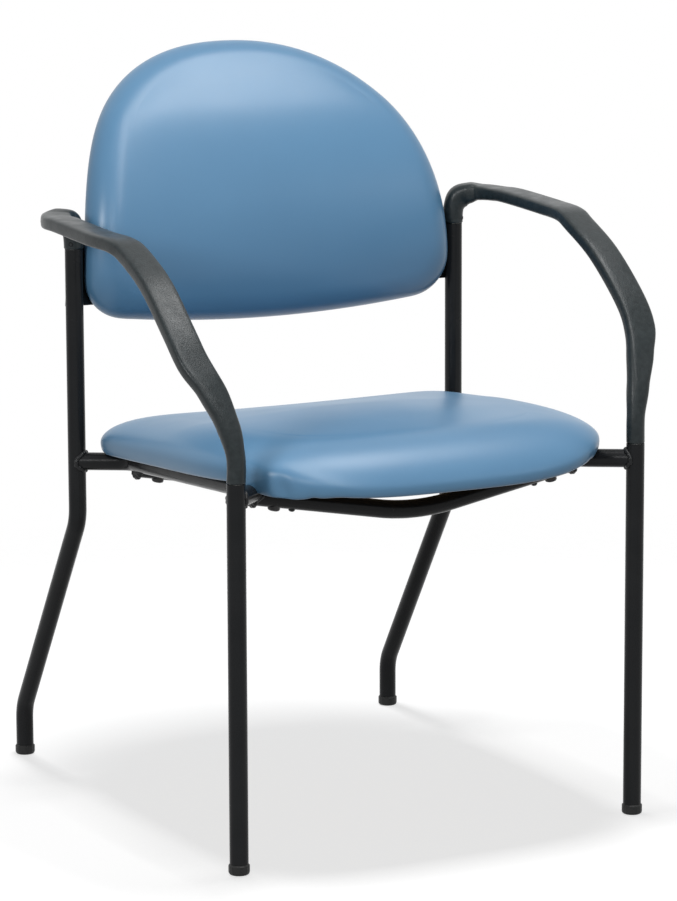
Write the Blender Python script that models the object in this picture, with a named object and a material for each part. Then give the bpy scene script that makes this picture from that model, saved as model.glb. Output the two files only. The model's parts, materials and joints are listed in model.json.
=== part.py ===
"""Exam side chair: bent steel tube frame, moulded arms, upholstered seat and back.

Metres, +Z up, front of the chair towards -Y. The origin is on the floor under the middle of the chair.
"""
import math

import bmesh
import bpy
from mathutils import Matrix, Vector

# Gap kept between two pieces that touch
CLEARANCE = 0.0003

# Frame tube
TUBE_OD = 0.01905
TUBE_WALL = 0.0015
TUBE_SIDES = 16
LEG_BEND_RADIUS = 0.045
BEND_STEPS = 3

# Frame layout: heights above the floor and distances between tube axes
LEG_SPACING = 0.462
LEG_TO_UPRIGHT = 0.3805
UPRIGHT_TO_REAR_FOOT = 0.154
REAR_LOWER_BEND_Z = 0.054
REAR_UPPER_BEND_Z = 0.293
FRONT_LEG_TOP_Z = 0.396
UPRIGHT_TOP_Z = 0.585

# Seat rails and the two bent crossbars between them
RAIL_FRONT_Z = 0.380
RAIL_REAR_Z = 0.357
RAIL_INSET = 0.044
RAIL_BEND_RADIUS = 0.030
CROSSBAR_SETBACK = 0.0545
CROSSBAR_END_DROP = 0.006
CROSSBAR_DIP = 0.0346
CROSSBAR_BEND_RADIUS = 0.235

# Foot glides
GLIDE_DIAMETER = 0.0216
GLIDE_HEIGHT = 0.011
GLIDE_EDGE_RADIUS = 0.003
GLIDE_STEM_LENGTH = 0.022
GLIDE_SIDES = 16

# Moulded arms
ARM_WIDTH = 0.033
ARM_THICKNESS = 0.0145
ARM_OUTSET = 0.0375
ARM_KINK_OUTSET = 0.027
ARM_POST_RISE = 0.116
ARM_KINK_SETBACK = 0.0375
ARM_CORNER_SETBACK = 0.190
ARM_REST_ABOVE_UPRIGHT = 0.0345
ARM_REST_SLOPE_RISE = 0.007
ARM_REST_LEVEL_SHARE = 0.35
ARM_SLEEVE_DIAMETER = 0.0206
ARM_TURN_LENGTH = 0.068
ARM_ELBOW_DEPTH = 0.026
# From the leg to the kink: shares of the way out, back and up, and how flat the section is there
ARM_POST_SHARES = (
    (0, 0, 0, 0),
    (0, 0, 0.23, 0),
    (0.22, 0.15, 0.50, 0.30),
    (0.61, 0.50, 0.78, 0.68),
    (1, 1, 1, 1),
)
# From the kink to the front corner of the rest: shares of the way out, back and up
ARM_CLIMB_SHARES = ((0.28, 0.17, 0.27), (0.28, 0.50, 0.67), (0.36, 0.83, 0.92), (0.65, 1, 1))
# From the rest down onto the upright: shares of the outset, turn length, drop, sleeve form and elbow
# bulk, and the turn of the width in degrees
ARM_ELBOW_SHARES = (
    (0.94, 0.58, 0.00, 0.0, 0.0, 18),
    (0.72, 0.26, 0.00, 0.1, 0.1, 42),
    (0.43, 0.12, 0.03, 0.4, 0.6, 62),
    (0.16, 0.03, 0.175, 0.8, 1.0, 80),
    (0.00, 0.00, 0.51, 1.0, 0.5, 90),
    (0.00, 0.00, 1.00, 1.0, 0.0, 90),
)
ARM_STRAP_SQUARENESS = 3.4
ARM_SECTION_POINTS = 16
ARM_STEPS = 2

# Steel spigots that join the arms to the tubes
SPIGOT_LENGTH_IN_TUBE = 0.034
SPIGOT_LENGTH_IN_FRONT_POST = 0.024
SPIGOT_LENGTH_IN_ELBOW = 0.014
SPIGOT_CHAMFER = 0.001

# Upholstery shared by the seat and the back
COVER_THICKNESS = 0.0012
COVER_TURN_UNDER = 0.022
COVER_UNDER_GAP = 0.0008
PAD_UNDERCUT = 0.005
DOME_STEPS = 4
UNDER_STEPS = 2
CROWN_FRACTIONS = (0.86, 0.62, 0.32)
# Edge of a board from its underside up: shares of the undercut and of the thickness
BOARD_EDGE_SHARES = ((1, 0), (0.45, 0.55), (0.40, 1))

# Seat pad
SEAT_EDGE_INSIDE_LEGS = 0.0075
SEAT_OVERHANG = 0.040
SEAT_REAR_SETBACK = 0.0075
SEAT_FRONT_SQUARENESS = 3.7
SEAT_REAR_SQUARENESS = 8.0
SEAT_BOARD_THICKNESS = 0.011
SEAT_SEAM_HEIGHT = 0.0145
SEAT_EDGE_RISE = 0.0265
SEAT_EDGE_ROUND = 0.065
SEAT_CROWN = 0.0075
SEAT_REAR_THINNING = 0.0075
SEAT_FRONT_THINNING = 0.010
SEAT_NOSE_DROOP = 0.022
SEAT_NOSE_LENGTH = 0.070
SEAT_OUTLINE_POINTS = 36

# Back pad: its profile stands upright at one level, curves back below and above, then runs straight
BACK_PROFILE_RADIUS = 0.233
BACK_TOP_LEAN = math.radians(41)
BACK_LEVEL_BELOW_UPRIGHT_TOP = 0.027
BACK_SIDE_GAP = 0.0023
BACK_BELOW_LEVEL = 0.0617
BACK_ABOVE_LEVEL = 0.2637
BACK_WIDEST_BELOW_LEVEL = 0.0153
BACK_DOME_SQUARENESS = 2.25
BACK_BOTTOM_SAG = 0.0103
BACK_LOWER_CORNER = 0.0455
BACK_BOARD_THICKNESS = 0.006
BACK_SEAM_HEIGHT = 0.0064
BACK_EDGE_RISE = 0.030
BACK_EDGE_ROUND = 0.036
BACK_CROWN = 0.006
BACK_PANEL_THICKNESS = 0.0015
BACK_PANEL_INSET = 0.012
BACK_DOME_POINTS = 28
BACK_CORNER_STEPS = 4
BACK_BOTTOM_STEPS = 6

# Back brackets: plates behind the uprights, rolled to the back's profile
BRACKET_MIDDLE_ABOVE_LEVEL = -0.001
BRACKET_THICKNESS = 0.003
BRACKET_HEIGHT = 0.074
BRACKET_REACH = 0.062
BRACKET_OVERLAP = 0.004
BRACKET_CORNER = 0.012
BRACKET_PAD_GAP = 0.0011
BRACKET_CORNER_STEPS = 4
BRACKET_FACE_STEPS = 6

# Bolts, tee nuts and spacers
BOLT_DIAMETER = 0.006
BOLT_HEAD_DIAMETER = 0.0115
BOLT_HEAD_HEIGHT = 0.004
# Button head from its crown to its bearing face: shares of the radius and of the height
BOLT_HEAD_SHARES = ((0.55, 0), (0.88, 0.35), (1, 1))
BOLT_HOLE_SLACK = 0.0004
BOLT_SIDES = 8
TEE_NUT_FLANGE_DIAMETER = 0.018
TEE_NUT_FLANGE_THICKNESS = 0.0014
TEE_NUT_BARREL_DIAMETER = 0.0082
TEE_NUT_BARREL_LENGTH = 0.0030
TEE_NUT_RECESS = 0.0006
SPACER_DIAMETER = 0.016
SPACER_SIDES = 14
SEAT_BOLT_FROM_RAIL = 0.027
BACK_BOLT_FROM_UPRIGHT = 0.0495
BACK_BOLT_SPACING = 0.038

# Values that follow from the sizes above
TUBE_RADIUS = TUBE_OD / 2
BORE_RADIUS = TUBE_RADIUS - TUBE_WALL
LEG_X = LEG_SPACING / 2
RAIL_X = LEG_X - RAIL_INSET
ARM_KINK_Z = FRONT_LEG_TOP_Z + ARM_POST_RISE
ARM_REST_REAR_Z = UPRIGHT_TOP_Z + ARM_REST_ABOVE_UPRIGHT
ARM_REST_FRONT_Z = ARM_REST_REAR_Z - ARM_REST_SLOPE_RISE
BACK_LEVEL_Z = UPRIGHT_TOP_Z - BACK_LEVEL_BELOW_UPRIGHT_TOP
SEAT_HALF_WIDTH = LEG_X - SEAT_EDGE_INSIDE_LEGS
BACK_HALF_WIDTH = LEG_X - TUBE_RADIUS - BACK_SIDE_GAP
DEPTH = SEAT_OVERHANG + LEG_TO_UPRIGHT + UPRIGHT_TO_REAR_FOOT + GLIDE_DIAMETER / 2
FRONT_LEG_Y = SEAT_OVERHANG - DEPTH / 2
UPRIGHT_Y = FRONT_LEG_Y + LEG_TO_UPRIGHT
REAR_FOOT_Y = UPRIGHT_Y + UPRIGHT_TO_REAR_FOOT
CROSSBAR_YS = {"front": FRONT_LEG_Y + CROSSBAR_SETBACK, "rear": UPRIGHT_Y - CROSSBAR_SETBACK}
SIDES = {"left": -1, "right": 1}
SPIGOT_RADIUS = BORE_RADIUS - CLEARANCE
BOLT_HOLE_RADIUS = BOLT_DIAMETER / 2 + BOLT_HOLE_SLACK
SEAT_PITCH = math.atan2(RAIL_FRONT_Z - RAIL_REAR_Z, LEG_TO_UPRIGHT)
SEAT_LIFT = TUBE_RADIUS + COVER_THICKNESS + COVER_UNDER_GAP + CLEARANCE
SEAT_FRONT_REACH = LEG_TO_UPRIGHT / 2 + SEAT_OVERHANG
SEAT_REAR_REACH = LEG_TO_UPRIGHT / 2 - SEAT_REAR_SETBACK
BACK_BOARD_RADIUS = BACK_PROFILE_RADIUS - BACK_SEAM_HEIGHT
PANEL_FRONT = -COVER_UNDER_GAP - COVER_THICKNESS - CLEARANCE
PANEL_REAR = PANEL_FRONT - BACK_PANEL_THICKNESS
BRACKET_FRONT = PANEL_REAR - BRACKET_PAD_GAP
BRACKET_REAR = BRACKET_FRONT - BRACKET_THICKNESS
BACK_BOARD_Y = UPRIGHT_Y + TUBE_RADIUS + CLEARANCE + BRACKET_FRONT


def rail_height(y):
    """Height of a side rail's axis at a place along the chair."""
    share = (y - FRONT_LEG_Y) / LEG_TO_UPRIGHT
    return RAIL_FRONT_Z + (RAIL_REAR_Z - RAIL_FRONT_Z) * share


def seat_frame():
    """Place of the seat: x across, y along the rails, z square to them, zero under the board."""
    middle = Vector((0, FRONT_LEG_Y + LEG_TO_UPRIGHT / 2, (RAIL_FRONT_Z + RAIL_REAR_Z) / 2))
    turn = Matrix.Rotation(-SEAT_PITCH, 4, "X")
    return Matrix.Translation(middle) @ turn @ Matrix.Translation((0, 0, SEAT_LIFT))


def back_shape(point):
    """Bend a flat layer of the back to its profile: x across, y up the pad, z forward from the board."""
    angle = min(point.y / BACK_PROFILE_RADIUS, BACK_TOP_LEAN)
    straight = point.y - angle * BACK_PROFILE_RADIUS
    reach = BACK_BOARD_RADIUS + point.z
    y = BACK_BOARD_Y + BACK_BOARD_RADIUS - reach * math.cos(angle) + straight * math.sin(angle)
    z = BACK_LEVEL_Z + reach * math.sin(angle) + straight * math.cos(angle)
    return Vector((point.x, y, z))


def back_frame(height):
    """Place on the back board's rear face, with x across, y up the pad and z forward."""
    angle = height / BACK_PROFILE_RADIUS
    turn = Matrix.Rotation(math.pi / 2 - angle, 4, "X")
    return Matrix.Translation(back_shape(Vector((0, height, 0)))) @ turn


def material(name, colour, roughness, metallic=0.0):
    """One plain surface."""
    made = bpy.data.materials.new(name)
    made.use_nodes = True
    shader = made.node_tree.nodes["Principled BSDF"]
    shader.inputs["Base Color"].default_value = (*colour, 1.0)
    shader.inputs["Roughness"].default_value = roughness
    shader.inputs["Metallic"].default_value = metallic
    return made


def add_object(name, mesh_data, surface, parent=None, sharp_angle=40):
    """Close a bmesh into a named object with its faces pointing out."""
    bmesh.ops.recalc_face_normals(mesh_data, faces=mesh_data.faces)
    mesh = bpy.data.meshes.new(name)
    mesh_data.to_mesh(mesh)
    mesh_data.free()
    mesh.shade_smooth()
    mesh.set_sharp_from_angle(angle=math.radians(sharp_angle))
    made = bpy.data.objects.new(name, mesh)
    if surface:
        mesh.materials.append(surface)
    made.parent = parent
    bpy.context.collection.objects.link(made)
    return made


def add_frame(name, matrix):
    """An empty that carries a group of pieces."""
    made = bpy.data.objects.new(name, None)
    made.matrix_world = matrix
    bpy.context.collection.objects.link(made)
    return made


def add_cutter(name, mesh_data, parent=None):
    """A body that only cuts others."""
    made = add_object(name, mesh_data, None, parent)
    made.hide_render = True
    made.display_type = "WIRE"
    return made


def cut(piece, cutter):
    """Take the cutter out of the piece."""
    made = piece.modifiers.new("cut_" + cutter.name, "BOOLEAN")
    made.operation = "DIFFERENCE"
    made.solver = "EXACT"
    made.object = cutter


def skin(rings, start_centre=None, end_centre=None, closed=False):
    """Join rings of equal length into one surface, with an end fanned to a centre or capped flat."""
    mesh = bmesh.new()
    rows = [[mesh.verts.new(point) for point in ring] for ring in rings]
    count = len(rows[0])
    pairs = list(zip(rows, rows[1:]))
    if closed:
        pairs.append((rows[-1], rows[0]))
    for low, high in pairs:
        for i in range(count):
            j = (i + 1) % count
            mesh.faces.new((low[i], low[j], high[j], high[i]))
    if not closed:
        for row, centre in ((rows[0], start_centre), (rows[-1], end_centre)):
            if centre is None:
                mesh.faces.new(row)
                continue
            tip = mesh.verts.new(centre)
            for i in range(count):
                mesh.faces.new((row[i], row[(i + 1) % count], tip))
    return mesh


def turned(profile, sides, centre=(0, 0), closed=False):
    """Revolve (radius, height) points about an upright axis through centre."""
    rings = []
    for radius, height in profile:
        ring = []
        for i in range(sides):
            angle = math.tau * i / sides
            x = centre[0] + radius * math.cos(angle)
            y = centre[1] + radius * math.sin(angle)
            ring.append(Vector((x, y, height)))
        rings.append(ring)
    return skin(rings, closed=closed)


def bent_path(corners, radius, steps):
    """Points along straight runs whose inner corners are rounded to a bend radius."""
    path = [corners[0]]
    for before, corner, after in zip(corners, corners[1:], corners[2:]):
        toward_start = (before - corner).normalized()
        toward_end = (after - corner).normalized()
        half = toward_start.angle(toward_end) / 2
        reach = radius / math.tan(half)
        middle = corner + (toward_start + toward_end).normalized() * (radius / math.sin(half))
        first = corner + toward_start * reach - middle
        last = corner + toward_end * reach - middle
        for i in range(steps + 1):
            path.append(middle + first.slerp(last, i / steps) * radius)
    path.append(corners[-1])
    return path


def tangents(path):
    """Direction of travel at each point of a path."""
    found = []
    for i in range(len(path)):
        before = path[max(i - 1, 0)]
        after = path[min(i + 1, len(path) - 1)]
        found.append((after - before).normalized())
    return found


def slide_to_tube(point, back, axis_point, axis, radius):
    """Move a point back along a direction until it lies on a tube, or close under the tube's side."""
    side = back - axis * back.dot(axis)
    offset = (point - axis_point) - axis * (point - axis_point).dot(axis)
    along = offset.dot(side) / side.length_squared
    miss = (offset - side * along).length
    reach = math.sqrt(max(radius ** 2 - miss ** 2, (radius / 2) ** 2)) / side.length
    return point + back * (reach - along)


def circle(centre, across, up, radius):
    """Ring of a tube's section."""
    ring = []
    for i in range(TUBE_SIDES):
        angle = math.tau * i / TUBE_SIDES
        ring.append(centre + across * radius * math.cos(angle) + up * radius * math.sin(angle))
    return ring


def hollow_tube(path, start_tube=None, end_tube=None):
    """Sweep the frame tube along a path. An end may be shaped to lie against another tube's axis."""
    headings = tangents(path)
    across = headings[0].orthogonal().normalized()
    outer, inner = [], []
    for point, heading in zip(path, headings):
        across = (across - heading * across.dot(heading)).normalized()
        up = heading.cross(across)
        outer.append(circle(point, across, up, TUBE_RADIUS))
        inner.append(circle(point, across, up, BORE_RADIUS))
    seat_radius = TUBE_RADIUS + CLEARANCE
    for end, index, sign in ((start_tube, 0, 1), (end_tube, -1, -1)):
        if end is None:
            continue
        axis_point, axis = end
        back = headings[index] * sign
        for ring in (outer[index], inner[index]):
            ring[:] = [slide_to_tube(p, back, axis_point, axis, seat_radius) for p in ring]
    return skin(outer + inner[::-1], closed=True)


def build_legs(steel):
    """Four legs. The rear pair run on upwards to carry the back and the arms."""
    for side, sign in SIDES.items():
        x = sign * LEG_X
        foot = Vector((x, FRONT_LEG_Y, GLIDE_HEIGHT + CLEARANCE))
        top = Vector((x, FRONT_LEG_Y, FRONT_LEG_TOP_Z))
        add_object(f"{side}_front_leg", hollow_tube([foot, top]), steel)
        corners = [
            Vector((x, REAR_FOOT_Y, GLIDE_HEIGHT + CLEARANCE)),
            Vector((x, REAR_FOOT_Y, REAR_LOWER_BEND_Z)),
            Vector((x, UPRIGHT_Y, REAR_UPPER_BEND_Z)),
            Vector((x, UPRIGHT_Y, UPRIGHT_TOP_Z)),
        ]
        path = bent_path(corners, LEG_BEND_RADIUS, BEND_STEPS)
        add_object(f"{side}_rear_leg", hollow_tube(path), steel)


def build_rails(steel):
    """Side rails with slanted ends, each shaped to its leg."""
    upward = Vector((0, 0, 1))
    for side, sign in SIDES.items():
        x_leg = sign * LEG_X
        x_rail = sign * RAIL_X
        y_front = FRONT_LEG_Y + RAIL_INSET
        y_rear = UPRIGHT_Y - RAIL_INSET
        corners = [
            Vector((x_leg, FRONT_LEG_Y, RAIL_FRONT_Z)),
            Vector((x_rail, y_front, rail_height(y_front))),
            Vector((x_rail, y_rear, rail_height(y_rear))),
            Vector((x_leg, UPRIGHT_Y, RAIL_REAR_Z)),
        ]
        path = bent_path(corners, RAIL_BEND_RADIUS, BEND_STEPS)
        body = hollow_tube(path, (corners[0], upward), (corners[-1], upward))
        add_object(f"{side}_side_rail", body, steel)


def crossbar_corners(y):
    """End, middle and end of a crossbar's axis."""
    end_z = rail_height(y) - CROSSBAR_END_DROP
    left = Vector((-RAIL_X, y, end_z))
    middle = Vector((0, y, end_z - CROSSBAR_DIP))
    right = Vector((RAIL_X, y, end_z))
    return [left, middle, right]


def build_crossbars(steel):
    """Crossbars bent down in the middle, each end shaped to its rail."""
    rail_axis = Vector((0, LEG_TO_UPRIGHT, RAIL_REAR_Z - RAIL_FRONT_Z)).normalized()
    made = {}
    for end, y in CROSSBAR_YS.items():
        path = bent_path(crossbar_corners(y), CROSSBAR_BEND_RADIUS, BEND_STEPS)
        left_rail = (Vector((-RAIL_X, y, rail_height(y))), rail_axis)
        right_rail = (Vector((RAIL_X, y, rail_height(y))), rail_axis)
        body = hollow_tube(path, left_rail, right_rail)
        made[end] = add_object(f"{end}_crossbar", body, steel)
    return made


def build_glides(plastic):
    """Foot glides: a rounded cap under the tube and a stem inside it."""
    foot = GLIDE_DIAMETER / 2
    edge = GLIDE_EDGE_RADIUS
    stem = BORE_RADIUS - CLEARANCE
    profile = []
    for i in range(4):
        angle = math.pi / 2 * i / 3
        profile.append((foot - edge + edge * math.sin(angle), edge - edge * math.cos(angle)))
    profile.append((foot, GLIDE_HEIGHT - edge / 2))
    profile.append((foot - edge / 2, GLIDE_HEIGHT))
    profile.append((stem, GLIDE_HEIGHT))
    profile.append((stem, GLIDE_HEIGHT + GLIDE_STEM_LENGTH - edge))
    profile.append((stem - edge, GLIDE_HEIGHT + GLIDE_STEM_LENGTH))
    for side, sign in SIDES.items():
        for end, y in (("front", FRONT_LEG_Y), ("rear", REAR_FOOT_Y)):
            body = turned(profile, GLIDE_SIDES, (sign * LEG_X, y))
            add_object(f"{side}_{end}_glide", body, plastic)


def arm_stations():
    """Sections along the right arm: place, width, thickness, squareness, turn of the width."""
    return post_stations() + rest_stations() + elbow_stations()


def post_stations():
    """Round on the front leg, flattening as the post leans out and back to the kink."""
    base = Vector((LEG_X, FRONT_LEG_Y, FRONT_LEG_TOP_Z + CLEARANCE))
    lean = Vector((ARM_KINK_OUTSET, ARM_KINK_SETBACK, ARM_KINK_Z - base.z))
    made = []
    for out, back, up, flatness in ARM_POST_SHARES:
        place = base + Vector((out * lean.x, back * lean.y, up * lean.z))
        width = TUBE_OD + (ARM_WIDTH - TUBE_OD) * flatness
        thickness = TUBE_OD + (ARM_THICKNESS - TUBE_OD) * flatness
        made.append((place, width, thickness, 2 + (ARM_STRAP_SQUARENESS - 2) * flatness, 0))
    return made


def rest_stations():
    """The flat strap: a curved climb from the kink to the front corner, then the rest itself."""
    kink = Vector((LEG_X + ARM_KINK_OUTSET, FRONT_LEG_Y + ARM_KINK_SETBACK, ARM_KINK_Z))
    corner = Vector((LEG_X + ARM_OUTSET, FRONT_LEG_Y + ARM_CORNER_SETBACK, ARM_REST_FRONT_Z))
    rear = Vector((LEG_X + ARM_OUTSET, UPRIGHT_Y - ARM_TURN_LENGTH, ARM_REST_REAR_Z))
    step = corner - kink
    places = []
    for out, back, up in ARM_CLIMB_SHARES:
        places.append(kink + Vector((out * step.x, back * step.y, up * step.z)))
    places += [corner.lerp(rear, ARM_REST_LEVEL_SHARE), rear]
    return [(place, ARM_WIDTH, ARM_THICKNESS, ARM_STRAP_SQUARENESS, 0) for place in places]


def elbow_stations():
    """The strap turns in over the upright, then down onto it as a round sleeve."""
    drop = ARM_REST_REAR_Z - UPRIGHT_TOP_Z - CLEARANCE
    made = []
    for out, ahead, down, roundness, bulk, turn in ARM_ELBOW_SHARES:
        x = LEG_X + out * ARM_OUTSET
        y = UPRIGHT_Y - ahead * ARM_TURN_LENGTH
        place = Vector((x, y, ARM_REST_REAR_Z - down * drop))
        width = ARM_WIDTH + (ARM_SLEEVE_DIAMETER - ARM_WIDTH) * roundness
        plain = ARM_THICKNESS + (ARM_SLEEVE_DIAMETER - ARM_THICKNESS) * roundness
        thickness = plain + (ARM_ELBOW_DEPTH - plain) * bulk
        squareness = ARM_STRAP_SQUARENESS + (2 - ARM_STRAP_SQUARENESS) * roundness
        made.append((place, width, thickness, squareness, turn))
    return made


def smooth_between(before, start, end, after, share):
    """Catmull-Rom value between start and end."""
    slope_start = (end - before) / 2
    slope_end = (after - start) / 2
    s2, s3 = share ** 2, share ** 3
    return (start * (2 * s3 - 3 * s2 + 1) + slope_start * (s3 - 2 * s2 + share)
            + end * (3 * s2 - 2 * s3) + slope_end * (s3 - s2))


def loft_sections(stations):
    """Fill in sections between the stations along a smooth path."""
    filled = []
    last = len(stations) - 1
    for i in range(last):
        four = [stations[max(0, min(last, i + k))] for k in (-1, 0, 1, 2)]
        for step in range(ARM_STEPS):
            share = step / ARM_STEPS
            place = smooth_between(*(s[0] for s in four), share)
            sizes = [four[1][k] + (four[2][k] - four[1][k]) * share for k in (1, 2, 3, 4)]
            filled.append((place, *sizes))
    filled.append(stations[-1])
    return filled


def rounded_section(centre, across, up, width, thickness, squareness):
    """Ring between an ellipse and a rounded rectangle."""
    ring = []
    for i in range(ARM_SECTION_POINTS):
        angle = math.tau * (i + 0.5) / ARM_SECTION_POINTS
        cos, sin = math.cos(angle), math.sin(angle)
        x = math.copysign(abs(cos) ** (2 / squareness), cos) * width / 2
        y = math.copysign(abs(sin) ** (2 / squareness), sin) * thickness / 2
        ring.append(centre + across * x + up * y)
    return ring


def arm_body(sign):
    """Moulded arm with a blind bore at each end for its spigot."""
    sections = loft_sections(arm_stations())
    headings = tangents([s[0] for s in sections])
    headings[0] = Vector((0, 0, 1))
    headings[-1] = Vector((0, 0, -1))
    rings = []
    for (place, width, thickness, squareness, turn), heading in zip(sections, headings):
        angle = math.radians(turn)
        across = Vector((math.cos(angle), math.sin(angle), 0))
        across = (across - heading * across.dot(heading)).normalized()
        up = across.cross(heading)
        rings.append(rounded_section(place, across, up, width, thickness, squareness))
    bore = SPIGOT_RADIUS + CLEARANCE
    front = bore_rings(sections[0][0], Vector((0, 0, 1)), rings[0], bore, SPIGOT_LENGTH_IN_FRONT_POST)
    rear = bore_rings(sections[-1][0], Vector((0, 0, 1)), rings[-1], bore, SPIGOT_LENGTH_IN_ELBOW)
    chain = front[::-1] + rings + rear
    for ring in chain:
        for point in ring:
            point.x *= sign
    return skin(chain)


def bore_rings(centre, inward, end_ring, radius, depth):
    """Mouth and floor of a blind bore that starts inside an end ring."""
    mouth = [centre + (point - centre).normalized() * radius for point in end_ring]
    floor = [point + inward * (depth + CLEARANCE) for point in mouth]
    return [mouth, floor]


def spigot_body(x, y, joint_z, length_in_arm):
    """Steel plug that reaches down into the tube and up into the arm."""
    top = joint_z + CLEARANCE + length_in_arm
    bottom = joint_z - SPIGOT_LENGTH_IN_TUBE
    profile = [
        (SPIGOT_RADIUS - SPIGOT_CHAMFER, bottom),
        (SPIGOT_RADIUS, bottom + SPIGOT_CHAMFER),
        (SPIGOT_RADIUS, top - SPIGOT_CHAMFER),
        (SPIGOT_RADIUS - SPIGOT_CHAMFER, top),
    ]
    return turned(profile, TUBE_SIDES, (x, y))


def build_arms(plastic, steel):
    """Arms and the spigots that hold them."""
    for side, sign in SIDES.items():
        add_object(f"{side}_arm", arm_body(sign), plastic, sharp_angle=60)
        front = spigot_body(sign * LEG_X, FRONT_LEG_Y, FRONT_LEG_TOP_Z, SPIGOT_LENGTH_IN_FRONT_POST)
        rear = spigot_body(sign * LEG_X, UPRIGHT_Y, UPRIGHT_TOP_Z, SPIGOT_LENGTH_IN_ELBOW)
        add_object(f"{side}_front_arm_spigot", front, steel)
        add_object(f"{side}_rear_arm_spigot", rear, steel)


def inset_ring(outline, inset, height):
    """The outline drawn in by a distance, at a height."""
    count = len(outline)
    ring = []
    for i, point in enumerate(outline):
        along = (outline[(i + 1) % count] - outline[i - 1]).normalized()
        inward = Vector((-along.y, along.x, 0))
        place = point + inward * inset
        ring.append(Vector((place.x, place.y, height)))
    return ring


def shrink_ring(ring, fraction, height):
    """A ring drawn towards its middle, at a height."""
    middle = sum(ring, Vector()) / len(ring)
    made = [middle + (point - middle) * fraction for point in ring]
    return [Vector((p.x, p.y, height)) for p in made]


def dome(outline, seam, rise, edge, crown, skin_in):
    """Rings from a pad's widest line over its crown, drawn in by skin_in, and the tip of the crown."""
    rings = []
    for i in range(DOME_STEPS + 1):
        angle = math.pi / 2 * i / DOME_STEPS
        inset = skin_in + (edge - skin_in) * (1 - math.cos(angle))
        rings.append(inset_ring(outline, inset, seam + (rise - skin_in) * math.sin(angle)))
    shoulder = rings[-1]
    top = seam + rise - skin_in
    for fraction in CROWN_FRACTIONS:
        rings.append(shrink_ring(shoulder, fraction, top + crown * (1 - fraction ** 2)))
    middle = sum(shoulder, Vector()) / len(shoulder)
    return rings, Vector((middle.x, middle.y, top + crown))


def underside(outline, seam, drop, skin_in):
    """Rings from the widest line down and under the board's edge to the end of the turned-in cover."""
    rings = []
    for i in range(1, UNDER_STEPS + 1):
        angle = math.pi / 2 * i / UNDER_STEPS
        inset = skin_in + (PAD_UNDERCUT - skin_in) * (1 - math.cos(angle))
        rings.append(inset_ring(outline, inset, seam - (drop - skin_in) * math.sin(angle)))
    rings.append(inset_ring(outline, COVER_TURN_UNDER, seam - drop + skin_in))
    return rings


def pad_skin(chain, start_tip, end_tip, shape):
    """Skin of a pad layer, its rings shaped and its faces split alike in every layer."""
    shaped = [[shape(point) for point in ring] for ring in chain]
    mesh = skin(shaped, shape(start_tip), shape(end_tip))
    bmesh.ops.triangulate(mesh, faces=mesh.faces, quad_method="SHORT_EDGE")
    return mesh


def cover_body(outline, seam, rise, edge, crown, shape):
    """Cover drawn over the foam and turned in under the board."""
    drop = seam + COVER_UNDER_GAP + COVER_THICKNESS
    outer, outer_tip = dome(outline, seam, rise, edge, crown, 0)
    inner, inner_tip = dome(outline, seam, rise, edge, crown, COVER_THICKNESS)
    outer_under = underside(outline, seam, drop, 0)
    inner_under = underside(outline, seam, drop, COVER_THICKNESS)
    chain = inner[::-1] + inner_under + outer_under[::-1] + outer
    return pad_skin(chain, inner_tip, outer_tip, shape)


def flat_rings(outline, inset, height):
    """Rings of a flat face from near its edge to near its middle, and the middle itself."""
    edge = inset_ring(outline, inset, height)
    rings = [edge] + [shrink_ring(edge, fraction, height) for fraction in CROWN_FRACTIONS]
    middle = sum(edge, Vector()) / len(edge)
    return rings, Vector((middle.x, middle.y, height))


def foam_body(outline, seam, board, rise, edge, crown, shape):
    """Foam between the board and the cover."""
    inset = COVER_THICKNESS + CLEARANCE
    rings, tip = dome(outline, seam, rise, edge, crown, inset)
    base = board + CLEARANCE
    flat, base_tip = flat_rings(outline, COVER_TURN_UNDER, base)
    chain = flat[::-1] + [inset_ring(outline, 2 * inset, base)] + rings
    return pad_skin(chain, base_tip, tip, shape)


def board_body(outline, thickness, shape):
    """Board with a rounded-over edge that follows the inside of the cover."""
    low = PAD_UNDERCUT + CLEARANCE
    edge = [inset_ring(outline, inset * low, height * thickness) for inset, height in BOARD_EDGE_SHARES]
    bottom, low_tip = flat_rings(outline, COVER_TURN_UNDER, 0)
    top, high_tip = flat_rings(outline, COVER_TURN_UNDER, thickness)
    chain = bottom[::-1] + edge + top
    return pad_skin(chain, low_tip, high_tip, shape)


def panel_body(outline):
    """Thin outer sheet that hides the turned-in cover at the rear of the back."""
    edge = inset_ring(outline, BACK_PANEL_INSET, (PANEL_FRONT + PANEL_REAR) / 2)
    inset = BACK_PANEL_INSET + BACK_PANEL_THICKNESS / 2
    rear, rear_tip = flat_rings(outline, inset, PANEL_REAR)
    front, front_tip = flat_rings(outline, inset, PANEL_FRONT)
    return pad_skin(rear[::-1] + [edge] + front, rear_tip, front_tip, back_shape)


def squared_arc(angle, half_width, reach, squareness):
    """Point on a curve between an ellipse and a rectangle."""
    cos, sin = math.cos(angle), math.sin(angle)
    x = math.copysign(abs(cos) ** (2 / squareness), cos) * half_width
    y = math.copysign(abs(sin) ** (2 / squareness), sin) * reach
    return Vector((x, y, 0))


def seat_outline():
    """Plan of the seat: square at the rear, rounder at the front."""
    points = []
    for i in range(SEAT_OUTLINE_POINTS):
        angle = math.tau * (i + 0.5) / SEAT_OUTLINE_POINTS
        if angle < math.pi:
            points.append(squared_arc(angle, SEAT_HALF_WIDTH, SEAT_REAR_REACH, SEAT_REAR_SQUARENESS))
        else:
            points.append(squared_arc(angle, SEAT_HALF_WIDTH, SEAT_FRONT_REACH, SEAT_FRONT_SQUARENESS))
    return points


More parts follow.
